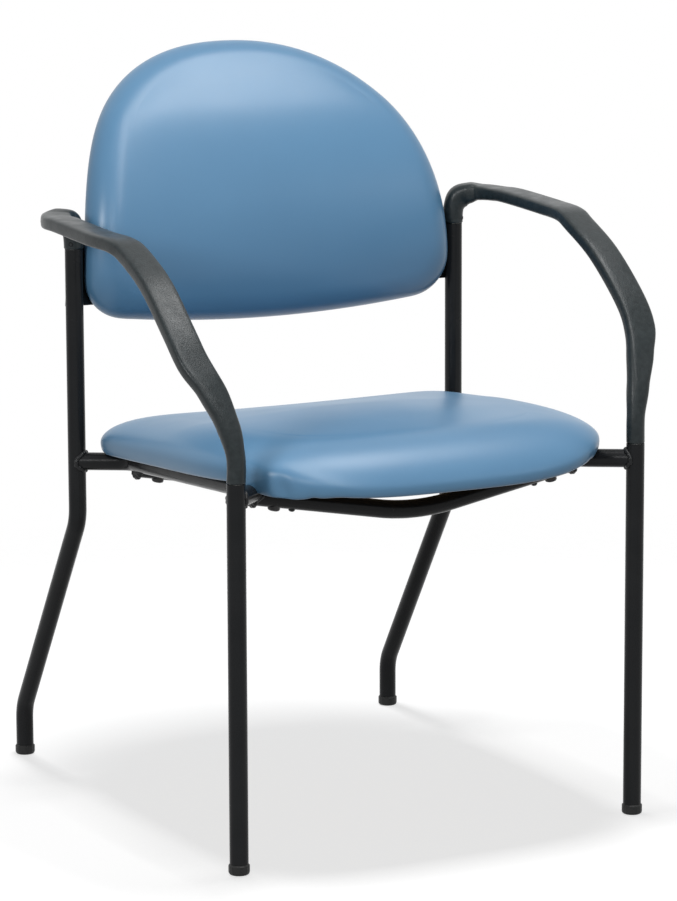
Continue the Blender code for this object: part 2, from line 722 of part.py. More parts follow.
def seat_shape(point):
    """The seat's nose bends down, and its foam thins towards the front and the rear."""
    share = max(0.0, (SEAT_NOSE_LENGTH - SEAT_FRONT_REACH - point.y) / SEAT_NOSE_LENGTH)
    droop = SEAT_NOSE_DROOP * share ** 2
    if point.y > 0:
        thinning = SEAT_REAR_THINNING * point.y / SEAT_REAR_REACH
    else:
        thinning = SEAT_FRONT_THINNING * (point.y / SEAT_FRONT_REACH) ** 2
    above_seam = max(0.0, point.z - SEAT_SEAM_HEIGHT) / SEAT_EDGE_RISE
    return Vector((point.x, point.y, point.z - droop - thinning * above_seam))


def back_outline():
    """Outline of the back: half an oval over rounded lower corners and a sagging lower edge."""
    widest = Vector((0, -BACK_WIDEST_BELOW_LEVEL, 0))
    rise = BACK_ABOVE_LEVEL + BACK_WIDEST_BELOW_LEVEL
    points = []
    for i in range(BACK_DOME_POINTS + 1):
        angle = math.pi * i / BACK_DOME_POINTS
        points.append(widest + squared_arc(angle, BACK_HALF_WIDTH, rise, BACK_DOME_SQUARENESS))
    corner_x = BACK_HALF_WIDTH - BACK_LOWER_CORNER
    corner_y = -BACK_BELOW_LEVEL + BACK_BOTTOM_SAG + BACK_LOWER_CORNER
    corner = []
    for i in range(1, BACK_CORNER_STEPS + 1):
        angle = math.pi / 2 * i / BACK_CORNER_STEPS
        x = corner_x + BACK_LOWER_CORNER * math.cos(angle)
        y = corner_y - BACK_LOWER_CORNER * math.sin(angle)
        corner.append(Vector((x, y, 0)))
    points += [Vector((-p.x, p.y, 0)) for p in corner]
    for i in range(1, BACK_BOTTOM_STEPS):
        x = -corner_x + 2 * corner_x * i / BACK_BOTTOM_STEPS
        y = -BACK_BELOW_LEVEL + BACK_BOTTOM_SAG * (x / corner_x) ** 2
        points.append(Vector((x, y, 0)))
    points += corner[::-1]
    return points


def bolt_body(x, y, head_z, tip_z):
    """Button-head bolt whose head is at its low end."""
    head = BOLT_HEAD_DIAMETER / 2
    shank = BOLT_DIAMETER / 2
    top = head_z + BOLT_HEAD_HEIGHT
    profile = [(head * out, head_z + BOLT_HEAD_HEIGHT * up) for out, up in BOLT_HEAD_SHARES]
    profile += [(shank, top), (shank, tip_z - shank / 2), (shank / 2, tip_z)]
    return turned(profile, BOLT_SIDES, (x, y))


def tee_nut_body(x, y, board_top):
    """Tee nut let into the top of a board, flange up."""
    flange = TEE_NUT_FLANGE_DIAMETER / 2
    barrel = TEE_NUT_BARREL_DIAMETER / 2
    bore = BOLT_DIAMETER / 2 + CLEARANCE
    top = board_top - TEE_NUT_RECESS
    low = top - TEE_NUT_FLANGE_THICKNESS
    bottom = low - TEE_NUT_BARREL_LENGTH
    profile = [
        (bore, bottom),
        (barrel, bottom),
        (barrel, low),
        (flange, low),
        (flange, top),
        (bore, top),
    ]
    return turned(profile, BOLT_SIDES, (x, y), closed=True)


def bolt_hole(x, y, low, board_top):
    """Cutter for a bolt's hole, wider in the board for the tee nut."""
    barrel = TEE_NUT_BARREL_DIAMETER / 2 + CLEARANCE
    flange = TEE_NUT_FLANGE_DIAMETER / 2 + CLEARANCE
    shelf = board_top - TEE_NUT_RECESS - TEE_NUT_FLANGE_THICKNESS - CLEARANCE
    barrel_low = shelf - TEE_NUT_BARREL_LENGTH
    above = board_top + TEE_NUT_FLANGE_THICKNESS
    profile = [
        (BOLT_HOLE_RADIUS, low),
        (BOLT_HOLE_RADIUS, barrel_low),
        (barrel, barrel_low),
        (barrel, shelf),
        (flange, shelf),
        (flange, above),
    ]
    return turned(profile, BOLT_SIDES, (x, y))


def spacer_body(x, y, bar_point, bar_axis):
    """Round spacer under the board, its foot shaped to the crossbar."""
    outer = SPACER_DIAMETER / 2
    upward = Vector((0, 0, 1))
    foot = []
    for radius in (outer, (outer + BOLT_HOLE_RADIUS) / 2, BOLT_HOLE_RADIUS):
        ring = []
        for i in range(SPACER_SIDES):
            angle = math.tau * i / SPACER_SIDES
            start = Vector((x + radius * math.cos(angle), y + radius * math.sin(angle), bar_point.z))
            ring.append(slide_to_tube(start, upward, bar_point, bar_axis, TUBE_RADIUS + CLEARANCE))
        foot.append(ring)
    outer_top, inner_top = ([Vector((p.x, p.y, -CLEARANCE)) for p in ring] for ring in (foot[0], foot[-1]))
    return skin([outer_top] + foot + [inner_top], closed=True)


def build_seat(crossbars, surfaces):
    """Seat board, foam and cover, held to the crossbars by bolts, spacers and tee nuts."""
    frame = seat_frame()
    carrier = add_frame("seat_frame", frame)
    into_seat = frame.inverted()
    outline = seat_outline()
    pad = (SEAT_EDGE_RISE, SEAT_EDGE_ROUND, SEAT_CROWN, seat_shape)
    board = board_body(outline, SEAT_BOARD_THICKNESS, seat_shape)
    board = add_object("seat_board", board, surfaces["ply"], carrier)
    foam = foam_body(outline, SEAT_SEAM_HEIGHT, SEAT_BOARD_THICKNESS, *pad)
    add_object("seat_foam", foam, surfaces["foam"], carrier)
    cover = cover_body(outline, SEAT_SEAM_HEIGHT, *pad)
    add_object("seat_cover", cover, surfaces["vinyl"], carrier)
    bolt_x = RAIL_X - SEAT_BOLT_FROM_RAIL
    for end, y in CROSSBAR_YS.items():
        _, middle, bar_end = (into_seat @ corner for corner in crossbar_corners(y))
        for side, sign in SIDES.items():
            high = Vector((sign * bar_end.x, bar_end.y, bar_end.z))
            on_bar = middle.lerp(high, bolt_x / RAIL_X)
            bar_axis = (high - middle).normalized()
            slope = abs(bar_axis.z / bar_axis.x)
            under_bar = on_bar.z - TUBE_RADIUS / math.cos(math.atan(slope))
            head = under_bar - slope * BOLT_HEAD_DIAMETER / 2 - CLEARANCE - BOLT_HEAD_HEIGHT
            x = sign * bolt_x
            name = f"{end}_{side}_seat"
            hole = bolt_hole(x, on_bar.y, head, SEAT_BOARD_THICKNESS)
            cutter = add_cutter(f"{name}_hole", hole, carrier)
            cut(crossbars[end], cutter)
            cut(board, cutter)
            bolt = bolt_body(x, on_bar.y, head, SEAT_BOARD_THICKNESS - TEE_NUT_RECESS)
            add_object(f"{name}_bolt", bolt, surfaces["zinc"], carrier)
            spacer = spacer_body(x, on_bar.y, on_bar, bar_axis)
            add_object(f"{name}_spacer", spacer, surfaces["plastic"], carrier)
            nut = tee_nut_body(x, on_bar.y, SEAT_BOARD_THICKNESS)
            add_object(f"{name}_tee_nut", nut, surfaces["zinc"], carrier)


def bracket_body(sign):
    """Plate from behind the upright in behind the back, with rounded inner corners."""
    outer = LEG_X + BRACKET_OVERLAP
    inner = LEG_X - BRACKET_REACH
    half = BRACKET_HEIGHT / 2
    plain = half - BRACKET_CORNER
    corner = []
    for i in range(BRACKET_CORNER_STEPS + 1):
        angle = math.pi / 2 * i / BRACKET_CORNER_STEPS
        height = plain + BRACKET_CORNER * math.sin(angle)
        corner.append((height, inner + BRACKET_CORNER * (1 - math.cos(angle))))
    face = [(plain - 2 * plain * i / BRACKET_FACE_STEPS, inner) for i in range(1, BRACKET_FACE_STEPS)]
    lower = [(-height, inside) for height, inside in corner]
    rings = []
    for height, inside in corner[::-1] + face + lower:
        y = BRACKET_MIDDLE_ABOVE_LEVEL + height
        rear = [(outer, BRACKET_REAR), (inside, BRACKET_REAR)]
        front = [(inside, BRACKET_FRONT), (outer, BRACKET_FRONT)]
        rings.append([back_shape(Vector((sign * x, y, z))) for x, z in rear + front])
    return skin(rings)


def build_back(surfaces):
    """Back board, foam, cover and rear panel, on two brackets with bolts and tee nuts."""
    outline = back_outline()
    pad = (BACK_EDGE_RISE, BACK_EDGE_ROUND, BACK_CROWN, back_shape)
    board = board_body(outline, BACK_BOARD_THICKNESS, back_shape)
    board = add_object("back_board", board, surfaces["ply"])
    foam = foam_body(outline, BACK_SEAM_HEIGHT, BACK_BOARD_THICKNESS, *pad)
    add_object("back_foam", foam, surfaces["foam"])
    add_object("back_cover", cover_body(outline, BACK_SEAM_HEIGHT, *pad), surfaces["vinyl"])
    panel = add_object("back_rear_panel", panel_body(outline), surfaces["vinyl"])
    brackets = {}
    for side, sign in SIDES.items():
        brackets[side] = add_object(f"{side}_back_bracket", bracket_body(sign), surfaces["steel"])
    head = BRACKET_REAR - CLEARANCE - BOLT_HEAD_HEIGHT
    for place, way in (("upper", 1), ("lower", -1)):
        height = BRACKET_MIDDLE_ABOVE_LEVEL + way * BACK_BOLT_SPACING / 2
        carrier = add_frame(f"{place}_back_frame", back_frame(height))
        for side, sign in SIDES.items():
            x = sign * (LEG_X - BACK_BOLT_FROM_UPRIGHT)
            name = f"{place}_{side}_back"
            cutter = add_cutter(f"{name}_hole", bolt_hole(x, 0, head, BACK_BOARD_THICKNESS), carrier)
            for piece in (brackets[side], panel, board):
                cut(piece, cutter)
            bolt = bolt_body(x, 0, head, BACK_BOARD_THICKNESS - TEE_NUT_RECESS)
            add_object(f"{name}_bolt", bolt, surfaces["zinc"], carrier)
            nut = tee_nut_body(x, 0, BACK_BOARD_THICKNESS)
            add_object(f"{name}_tee_nut", nut, surfaces["zinc"], carrier)


def main():
    """Build the chair."""
    for old in list(bpy.data.objects):
        bpy.data.objects.remove(old, do_unlink=True)
    surfaces = {
        "steel": material("black_powder_coat", (0.012, 0.012, 0.013), 0.38),
        "plastic": material("black_moulded_plastic", (0.022, 0.024, 0.024), 0.55),
        "vinyl": material("blue_vinyl", (0.075, 0.205, 0.420), 0.40),
        "foam": material("seat_foam", (0.72, 0.66, 0.48), 0.95),
        "ply": material("birch_plywood", (0.52, 0.36, 0.20), 0.70),
        "zinc": material("zinc_plated_steel", (0.55, 0.55, 0.53), 0.35, 1.0),
    }
    build_legs(surfaces["steel"])
    build_rails(surfaces["steel"])
    crossbars = build_crossbars(surfaces["steel"])
    build_glides(surfaces["plastic"])
    build_arms(surfaces["plastic"], surfaces["zinc"])
    build_seat(crossbars, surfaces)
    build_back(surfaces)


main()
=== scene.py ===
"""Studio scene of the exam side chair: camera, light, upholstery, finishes and small trim.

Metres, +Z up, the chair's front towards -Y, as in the solids.
"""
import json
import math

import bmesh
import bpy
import numpy as np
from mathutils import Matrix, Vector


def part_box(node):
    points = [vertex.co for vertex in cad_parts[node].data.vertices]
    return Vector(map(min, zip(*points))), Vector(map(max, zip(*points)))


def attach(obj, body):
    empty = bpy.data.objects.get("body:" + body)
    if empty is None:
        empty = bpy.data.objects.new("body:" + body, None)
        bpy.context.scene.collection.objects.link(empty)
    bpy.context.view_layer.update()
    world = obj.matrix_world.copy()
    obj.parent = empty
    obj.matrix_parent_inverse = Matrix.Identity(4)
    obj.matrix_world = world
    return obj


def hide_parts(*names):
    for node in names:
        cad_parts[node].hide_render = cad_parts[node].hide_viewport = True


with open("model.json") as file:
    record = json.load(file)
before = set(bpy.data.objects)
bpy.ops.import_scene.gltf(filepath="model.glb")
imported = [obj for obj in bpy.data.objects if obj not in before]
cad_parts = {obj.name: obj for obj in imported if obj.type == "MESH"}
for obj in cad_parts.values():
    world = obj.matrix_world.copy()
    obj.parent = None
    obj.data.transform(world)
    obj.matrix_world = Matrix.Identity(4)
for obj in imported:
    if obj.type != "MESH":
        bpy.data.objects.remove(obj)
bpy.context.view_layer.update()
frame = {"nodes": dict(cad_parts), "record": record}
nodes = frame["nodes"]

# Places of the frame, as in the solids
TUBE_RADIUS = 0.009525
TUBE_SIDES = 32
CLEARANCE = 0.0003
LEG_X = 0.231
FRONT_LEG_Y = -0.25265
UPRIGHT_Y = 0.12785
REAR_FOOT_Y = 0.28185
GLIDE_TOP = 0.0113
FRONT_LEG_TOP = 0.396
UPRIGHT_TOP = 0.585
REAR_LOWER_BEND = 0.054
REAR_UPPER_BEND = 0.293
LEG_BEND_RADIUS = 0.045
LEG_BEND_STEPS = 14
RAIL_FRONT_Z = 0.380
RAIL_REAR_Z = 0.357
RAIL_INSET = 0.044
RAIL_X = LEG_X - RAIL_INSET
RAIL_BEND_RADIUS = 0.030
RAIL_BEND_STEPS = 12
CROSSBAR_SETBACK = 0.0545
CROSSBAR_END_DROP = 0.006
CROSSBAR_DIP = 0.0346
CROSSBAR_BEND_RADIUS = 0.235
CROSSBAR_BEND_STEPS = 24
LEG_TO_UPRIGHT = UPRIGHT_Y - FRONT_LEG_Y
SIDES = {"left": -1, "right": 1}
CROSSBAR_Y = {"front": FRONT_LEG_Y + CROSSBAR_SETBACK, "rear": UPRIGHT_Y - CROSSBAR_SETBACK}
UP = Vector((0, 0, 1))

# Weld beads: the ripple is of the passes, the wander of the hand
WELD_POINTS = 72
WELD_SIDES = 10
WELD_RADIUS = 0.0027
WELD_RIPPLES = 15
WELD_RIPPLE = 0.0003
WELD_WANDER = 0.0002
BRACKET_WELD_STEPS = 40
BRACKET_WELD_RADIUS = 0.0016
BRACKET_WELD_HALF_LENGTH = 0.026
BRACKET_WELD_SINK = 0.0008
BRACKET_WELD_INSETS = (0.0062, -0.0035)

# Moulded arms, as in the solids
ARM_WIDTH = 0.033
ARM_THICKNESS = 0.0145
ARM_OUTSET = 0.0375
ARM_KINK = Vector((0.027, 0.0375, 0.116))
ARM_CORNER_SETBACK = 0.190
ARM_REST_FRONT_Z = 0.6125
ARM_REST_REAR_Z = 0.6195
ARM_SLEEVE_DIAMETER = 0.0206
ARM_TURN_LENGTH = 0.068
ARM_ELBOW_DEPTH = 0.026
ARM_SQUARENESS = 5.0
ARM_REST_SHARE = 0.35
ARM_STEPS = 7
ARM_POINTS = 48
ARM_EASE = 0.0009
ARM_PARTING_RIDGE = 0.0005
# Shares of the way up the post: out, back, up, flatness
ARM_POST_SHARES = (
    (0, 0, 0, 0),
    (0, 0, 0.23, 0),
    (0.22, 0.15, 0.50, 0.30),
    (0.61, 0.50, 0.78, 0.68),
    (1, 1, 1, 1),
)
# From the kink to the corner: out, back, up
ARM_CLIMB_SHARES = ((0.28, 0.17, 0.27), (0.28, 0.50, 0.67), (0.36, 0.83, 0.92), (0.65, 1, 1))
# Round the elbow: out, ahead, down, roundness, bulk, turn in degrees
ARM_ELBOW_SHARES = (
    (0.94, 0.58, 0.00, 0.0, 0.0, 18),
    (0.72, 0.26, 0.00, 0.1, 0.1, 42),
    (0.43, 0.12, 0.03, 0.4, 0.6, 62),
    (0.16, 0.03, 0.175, 0.8, 1.0, 80),
    (0.00, 0.00, 0.51, 1.0, 0.5, 90),
    (0.00, 0.00, 1.00, 1.0, 0.0, 90),
)

# Upholstery, as in the solids but for a lower seam and fuller rear corners on the seat; the foam
# starts a little smaller and swells under its cover
SEAT_HALF_WIDTH = 0.2235
SEAT_FRONT_REACH = 0.23025
SEAT_REAR_REACH = 0.18275
SEAT_LIFT = 0.011825
SEAT_SEAM = 0.0095
SEAT_RISE = 0.0315
SEAT_EDGE = 0.065
SEAT_CROWN = 0.0075
SEAT_REAR_THINNING = 0.0075
SEAT_FRONT_THINNING = 0.010
SEAT_CORNER_FULLNESS = 0.008
SEAT_NOSE_DROOP = 0.022
SEAT_NOSE_LENGTH = 0.070
SEAT_REAR_SQUARENESS = 10.0
SEAT_FRONT_SQUARENESS = 3.7
SEAT_BOARD_GAP = 0.004
SEAT_OUTLINE_STEPS = 2400
SEAT_CELLS = 48
SEAT_CORNERS = ((-0.19, -0.19), (0.19, -0.19), (0.205, 0.168), (-0.205, 0.168))
BACK_RADIUS = 0.233
BACK_TOP_LEAN = math.radians(41)
BACK_LEVEL_Z = 0.558
BACK_HALF_WIDTH = 0.219175
BACK_BELOW = 0.0617
BACK_ABOVE = 0.2637
BACK_WIDEST_BELOW = 0.0153
BACK_SQUARENESS = 2.25
BACK_SAG = 0.0103
BACK_CORNER = 0.0455
BACK_CORNER_LEAD = math.radians(10)
BACK_SEAM = 0.0064
BACK_RISE = 0.030
BACK_EDGE = 0.036
BACK_CROWN = 0.0035
BACK_MIDDLE = 0.085
BACK_BOARD_GAP = 0.002
BACK_ARCH_STEPS = 1200
BACK_CORNER_STEPS = 200
BACK_SAG_STEPS = 400
BACK_OUTLINE_SPACING = 0.001
BACK_OUTLINE_WINDOW = 15
BACK_CELLS = 44
BACK_CORNERS = ((-0.200, -0.038), (0.200, -0.038), (0.155, 0.185), (-0.155, 0.185))
BACK_BOARD_RADIUS = BACK_RADIUS - BACK_SEAM
BACK_BOARD_Y = UPRIGHT_Y + TUBE_RADIUS + CLEARANCE - 0.0049
PAD_UNDERCUT = 0.005
PAD_LIP = 0.022
PAD_LIP_TUCK = 0.0014
PAD_LIP_MIDDLE = 0.6
PAD_DOME_STEPS = 12
PAD_UNDER_DROP = 0.0019
PAD_SHRINK = 0.0015
PAD_SWELL_CAP = 0.0025
# How firmly each ring is held
PAD_HELD = {0: 1.0, 1: 1.0, 2: 1.0, 3: 0.9, 4: 0.6, 5: 0.35}
CLOTH_FRAMES = 20
SWELL_SMOOTHING = 60
SWELL_KEPT = 0.4
RUN_STEPS = 2000
END_CROWDING = 2.2
END_CROWDING_REACH = 0.055
BOARD_INSET = 0.0095
BOARD_THICKNESS = 0.011
BOARD_EASE = 0.001
PANEL_INSET = 0.012
PANEL_FRONT = -0.0023
PANEL_REAR = -0.0038

# Folds of the covers: reach along the edge, pitch of the pleats and depth at each ring
SEAT_PLEATS = (0.045, 0.022, {2: 0.0004, 3: 0.0010, 4: 0.0012, 5: 0.0008, 6: 0.0003})
BACK_PLEATS = (0.060, 0.0125, {1: 0.0004, 2: 0.0010, 3: 0.0016, 4: 0.0010})
# Slack front left corner of the seat: first the shift from the corner; pitch zero hangs straight down
SLACK_CORNER = (
    (0.003, 0.062, 0, {2: 0.0022, 3: 0.0070, 4: 0.0066, 5: 0.0048, 6: 0.0028, 7: 0.0012}),
    (-0.003, 0.040, 0, {2: 0.0014, 3: 0.0046, 4: 0.0040, 5: 0.0026, 6: 0.0012, 7: 0.0004}),
    (0.0095, 0.013, 0.06, {4: 0.0022, 5: 0.0032, 6: 0.0022, 7: 0.0010, 8: 0.0003}),
    (0.040, 0.0045, 0.06, {3: 0.0018, 4: 0.0016, 5: 0.0005}),
)

# Staples under the seat: reach and depth of each bend
STAPLE_INSET = 0.0155
STAPLE_PITCH = 0.022
STAPLE_LEAN = 0.25
STAPLE_RADIUS = 0.0005
STAPLE_SIDES = 6
STAPLE_LEVEL = -PAD_UNDER_DROP - 0.0002
STAPLE_BENDS = ((-0.0055, 0.0012), (-0.0050, -0.0004), (0.0050, -0.0004), (0.0055, 0.0012))

# Turned trim: radius and height along each profile
SCREW_PROFILE = ((0.0004, -0.0010), (0.0013, -0.0010), (0.0015, 0.0003), (0.0022, 0.0004),
                 (0.0026, -0.0003), (0.0026, -0.0016))
SCREW_HEIGHT = 0.006
SCREW_FACING = Vector((0.66, -0.75, 0)).normalized()
BUTTON_PROFILE = ((0.0034, -0.0012), (0.0034, 0.0004), (0.0030, 0.0014), (0.0020, 0.0022),
                  (0.0006, 0.0025))
BUTTON_X = 0.140
BOLT_HEAD_PROFILE = ((0.0063, -0.0060), (0.0063, 0.0014), (0.0056, 0.0026), (0.0038, 0.0034),
                     (0.0022, 0.0036), (0.0021, 0.0018), (0.0004, 0.0018))
BOLT_X = 0.160
TRIM_SIDES = 20
BOLT_HEAD_SIDES = 24
BRACKET_EASE = 0.0006

# Range in which a noise texture mostly lies
NOISE_RANGE = (0.3, 0.7)

# Camera, fitted to the photograph, and studio
PICTURE_WIDTH = 677
PICTURE_HEIGHT = 901
CAMERA_AZIMUTH = math.radians(-28.17)
CAMERA_ELEVATION = math.radians(9.92)
CAMERA_ROLL = math.radians(-0.18)
CAMERA_AIM = Vector((0, -0.0582, 0.41))
CAMERA_DISTANCE = 4.028
FOCAL_PIXELS = 3834.0
PRINCIPAL_X = 350.0
PRINCIPAL_Y = 420.2
SENSOR_WIDTH = 36
WORLD_LIGHT = 0.13
FLOOR_RADIUS = 2.2
FLOOR_GAP = 0.0002
FLOOR_GLOW = 0.705
FLOOR_FADE = (0.7, 1.6)


def squared(cos, sin, half_width, reach, squareness):
    """Point on a curve between an ellipse and a rectangle."""
    x = math.copysign(abs(cos) ** (2 / squareness), cos) * half_width
    y = math.copysign(abs(sin) ** (2 / squareness), sin) * reach
    return x, y


def skin(rings, closed=False):
    """Join rings of equal length into one surface, round to the start or with capped ends."""
    mesh = bmesh.new()
    rows = [[mesh.verts.new(point) for point in ring] for ring in rings]
    count = len(rows[0])
    pairs = list(zip(rows, rows[1:]))
    if closed:
        pairs.append((rows[-1], rows[0]))
    for low, high in pairs:
        for i in range(count):
            j = (i + 1) % count
            mesh.faces.new((low[i], low[j], high[j], high[i]))
    if not closed:
        mesh.faces.new(rows[0])
        mesh.faces.new(rows[-1])
    return mesh


def piece(name, mesh_data, look, replaced=(), sharp_angle=35):
    """Make a named piece that rides on the chair."""
    bmesh.ops.recalc_face_normals(mesh_data, faces=mesh_data.faces)
    mesh = bpy.data.meshes.new(name)
    mesh_data.to_mesh(mesh)
    mesh_data.free()
    mesh.shade_smooth()
    mesh.set_sharp_from_angle(angle=math.radians(sharp_angle))
    mesh.materials.append(look)
    made = bpy.data.objects.new(name, mesh)
    bpy.context.scene.collection.objects.link(made)
    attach(made, "root")
    if replaced:
        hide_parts(*replaced)
    return made


def merge(parts):
    """Put several bmeshes into one."""
    whole = bmesh.new()
    for part in parts:
        copy = bpy.data.meshes.new("part")
        part.to_mesh(copy)
        part.free()
        whole.from_mesh(copy)
        bpy.data.meshes.remove(copy)
    return whole


def add_node(tree, kind, **values):
    """A shader node with its options and inputs set."""
    made = tree.nodes.new(kind)
    for key, value in values.items():
        name = key.replace("_", " ").title()
        if name in made.inputs:
            made.inputs[name].default_value = value
        else:
            setattr(made, key, value)
    return made


def noise(tree, place, scale, detail, stretch=None):
    """Noise in metres of the chair, stretched along an axis where asked."""
    source = place
    if stretch:
        mapping = add_node(tree, "ShaderNodeMapping", scale=stretch)
        tree.links.new(place, mapping.inputs["Vector"])
        source = mapping.outputs["Vector"]
    made = add_node(tree, "ShaderNodeTexNoise", scale=scale, detail=detail)
    tree.links.new(source, made.inputs["Vector"])
    return made.outputs["Fac"]


def pressed_cells(tree, place, scale, feature):
    """Small cells in metres of the chair, as a press or a mould leaves them."""
    made = add_node(tree, "ShaderNodeTexVoronoi", feature=feature, scale=scale)
    tree.links.new(place, made.inputs["Vector"])
    return made.outputs["Distance"]


def ramp(tree, value, low, high):
    """Blend of two colours over the range of a noise."""
    made = add_node(tree, "ShaderNodeValToRGB")
    for element, position, colour in zip(made.color_ramp.elements, NOISE_RANGE, (low, high)):
        element.position = position
        element.color = (*colour, 1)
    tree.links.new(value, made.inputs["Fac"])
    return made.outputs["Color"]


def spread(tree, value, low, high):
    """A noise carried from its own range onto another."""
    start, end = NOISE_RANGE
    made = add_node(tree, "ShaderNodeMapRange", from_min=start, from_max=end, to_min=low, to_max=high)
    tree.links.new(value, made.inputs["Value"])
    return made.outputs["Result"]


def material(name, tone, gloss, reliefs, specular=0.5, metallic=0.0):
    """A material whose colour and roughness drift with noises, over stacked bumps.

    Tone and gloss: a noise and the two ends of its blend. Each relief: a texture, its settings,
    and the bump's strength and depth in metres.
    """
    made = bpy.data.materials.new(name)
    made.use_nodes = True
    tree = made.node_tree
    shader = tree.nodes["Principled BSDF"]
    shader.inputs["Specular IOR Level"].default_value = specular
    shader.inputs["Metallic"].default_value = metallic
    place = add_node(tree, "ShaderNodeTexCoord").outputs["Object"]
    for target, mixed, drift in (("Base Color", ramp, tone), ("Roughness", spread, gloss)):
        settings, low, high = drift
        value = noise(tree, place, *settings)
        tree.links.new(mixed(tree, value, low, high), shader.inputs[target])
    normal = None
    for texture, settings, strength, depth in reliefs:
        bump = add_node(tree, "ShaderNodeBump", strength=strength, distance=depth)
        tree.links.new(texture(tree, place, *settings), bump.inputs["Height"])
        if normal:
            tree.links.new(normal, bump.inputs["Normal"])
        normal = bump.outputs["Normal"]
    tree.links.new(normal, shader.inputs["Normal"])
    return made


def powder_material(name, specular):
    """Black powder coat: satin, with orange peel and faint dust in the tone."""
    return material(
        name,
        tone=((26.0, 3.0), (0.0080, 0.0088, 0.0098), (0.0114, 0.0122, 0.0132)),
        gloss=((60.0, 4.0), 0.18, 0.28),
        reliefs=[(noise, (520.0, 2.0), 0.10, 0.0004), (noise, (2400.0, 2.0), 0.05, 0.0002)],
        specular=specular,
    )


def plastic_material(name, low, high, rough):
    """Moulded plastic with the leathery grain that the mould leaves."""
    return material(
        name,
        tone=((180.0, 4.0), low, high),
        gloss=((75.0, 4.0), rough - 0.05, rough + 0.06),
        reliefs=[(pressed_cells, (640.0, "F1"), 0.22, 0.0005), (noise, (1500.0, 3.0), 0.14, 0.0003)],
        specular=0.25,
    )


# Blue upholstery vinyl: satin, with a fine pressed grain and slight tone drift
vinyl = material(
    "upholstery_vinyl",
    tone=((7.0, 2.0), (0.082, 0.196, 0.330), (0.089, 0.210, 0.350)),
    gloss=((18.0, 3.0), 0.31, 0.34),
    reliefs=[
        (pressed_cells, (620.0, "DISTANCE_TO_EDGE"), 0.04, 0.0003),
        (noise, (2100.0, 2.0), 0.02, 0.0002),
    ],
    specular=0.38,
)
powder = powder_material("powder_coat", 0.13)
weld_coat = powder_material("weld_coat", 0.20)
arm_plastic = plastic_material("arm_plastic", (0.0085, 0.0128, 0.0142), (0.0186, 0.0252, 0.0272), 0.33)
foot_plastic = plastic_material("foot_plastic", (0.010, 0.0105, 0.0105), (0.016, 0.0165, 0.0165), 0.48)

# Bare plywood: long grain across the chair, with pores
PORES = (60.0, 3.0, (0.5, 12.0, 12.0))
ply = material(
    "plywood",
    tone=((9.0, 6.0, (1.2, 9.0, 9.0)), (0.40, 0.255, 0.130), (0.60, 0.430, 0.255)),
    gloss=(PORES, 0.62, 0.80),
    reliefs=[(noise, PORES, 0.25, 0.0003)],
    specular=0.25,
)

# Zinc plate, foam and black oxide: in each, one drift for tone and gloss
zinc = material(
    "zinc_plate",
    tone=((240.0, 3.0), (0.46, 0.47, 0.48), (0.58, 0.585, 0.57)),
    gloss=((240.0, 3.0), 0.28, 0.40),
    reliefs=[(noise, (1500.0, 2.0), 0.08, 0.0002)],
    metallic=1.0,
)
foam = material(
    "foam",
    tone=((900.0, 2.0), (0.60, 0.54, 0.36), (0.76, 0.70, 0.52)),
    gloss=((900.0, 2.0), 0.95, 0.95),
    reliefs=[(noise, (900.0, 2.0), 0.5, 0.0006)],
    specular=0.1,
)
oxide = material(
    "black_oxide",
    tone=((300.0, 3.0), (0.012, 0.012, 0.013), (0.026, 0.025, 0.024)),
    gloss=((300.0, 3.0), 0.34, 0.48),
    reliefs=[(noise, (1800.0, 2.0), 0.10, 0.0002)],
    specular=0.35,
)
SLOT_LOOKS = {"steel": powder, "plastic": foot_plastic, "vinyl": vinyl,
              "foam": foam, "ply": ply, "zinc": zinc}
for entry in frame["record"]["subparts"]:
    node = nodes[entry["node"]]
    node.data.materials.clear()
    dark = entry["node"].endswith(("_seat_bolt", "_seat_spacer", "_back_bolt"))
    node.data.materials.append(oxide if dark else SLOT_LOOKS[entry["material_slot"]])


def bent_path(corners, radius, steps):
    """Points along straight runs whose inner corners are rounded to a bend radius."""
    path = [corners[0]]
    for before, corner, after in zip(corners, corners[1:], corners[2:]):
        toward_start = (before - corner).normalized()
        toward_end = (after - corner).normalized()
        half = toward_start.angle(toward_end) / 2
        reach = radius / math.tan(half)
        middle = corner + (toward_start + toward_end).normalized() * (radius / math.sin(half))
        first = corner + toward_start * reach - middle
        last = corner + toward_end * reach - middle
        for i in range(steps + 1):
            path.append(middle + first.slerp(last, i / steps) * radius)
    path.append(corners[-1])
    return path


def circle(centre, across, up, radius, sides):
    """Ring of points about a centre."""
    angles = [math.tau * k / sides for k in range(sides)]
    return [centre + (across * math.cos(a) + up * math.sin(a)) * radius for a in angles]


def sweep(path, radii, sides, closed=False):
    """Round section carried along a path, with a radius for each point."""
    count = len(path)
    rings = []
    across = None
    for i, point in enumerate(path):
        if closed:
            heading = (path[(i + 1) % count] - path[i - 1]).normalized()
        else:
            heading = (path[min(i + 1, count - 1)] - path[max(i - 1, 0)]).normalized()
        if across is None:
            across = heading.orthogonal().normalized()
        across = (across - heading * across.dot(heading)).normalized()
        rings.append(circle(point, across, heading.cross(across), radii[i], sides))
    return skin(rings, closed=closed)


def tube(name, path, replaced):
    """Smooth frame tube along a path, in place of a faceted one."""
    mesh = sweep(path, [TUBE_RADIUS] * len(path), TUBE_SIDES)
    piece(name, mesh, powder, [replaced])


def rail_height(y):
    """Height of a side rail's axis at a place along the chair."""
    return RAIL_FRONT_Z + (RAIL_REAR_Z - RAIL_FRONT_Z) * (y - FRONT_LEG_Y) / LEG_TO_UPRIGHT


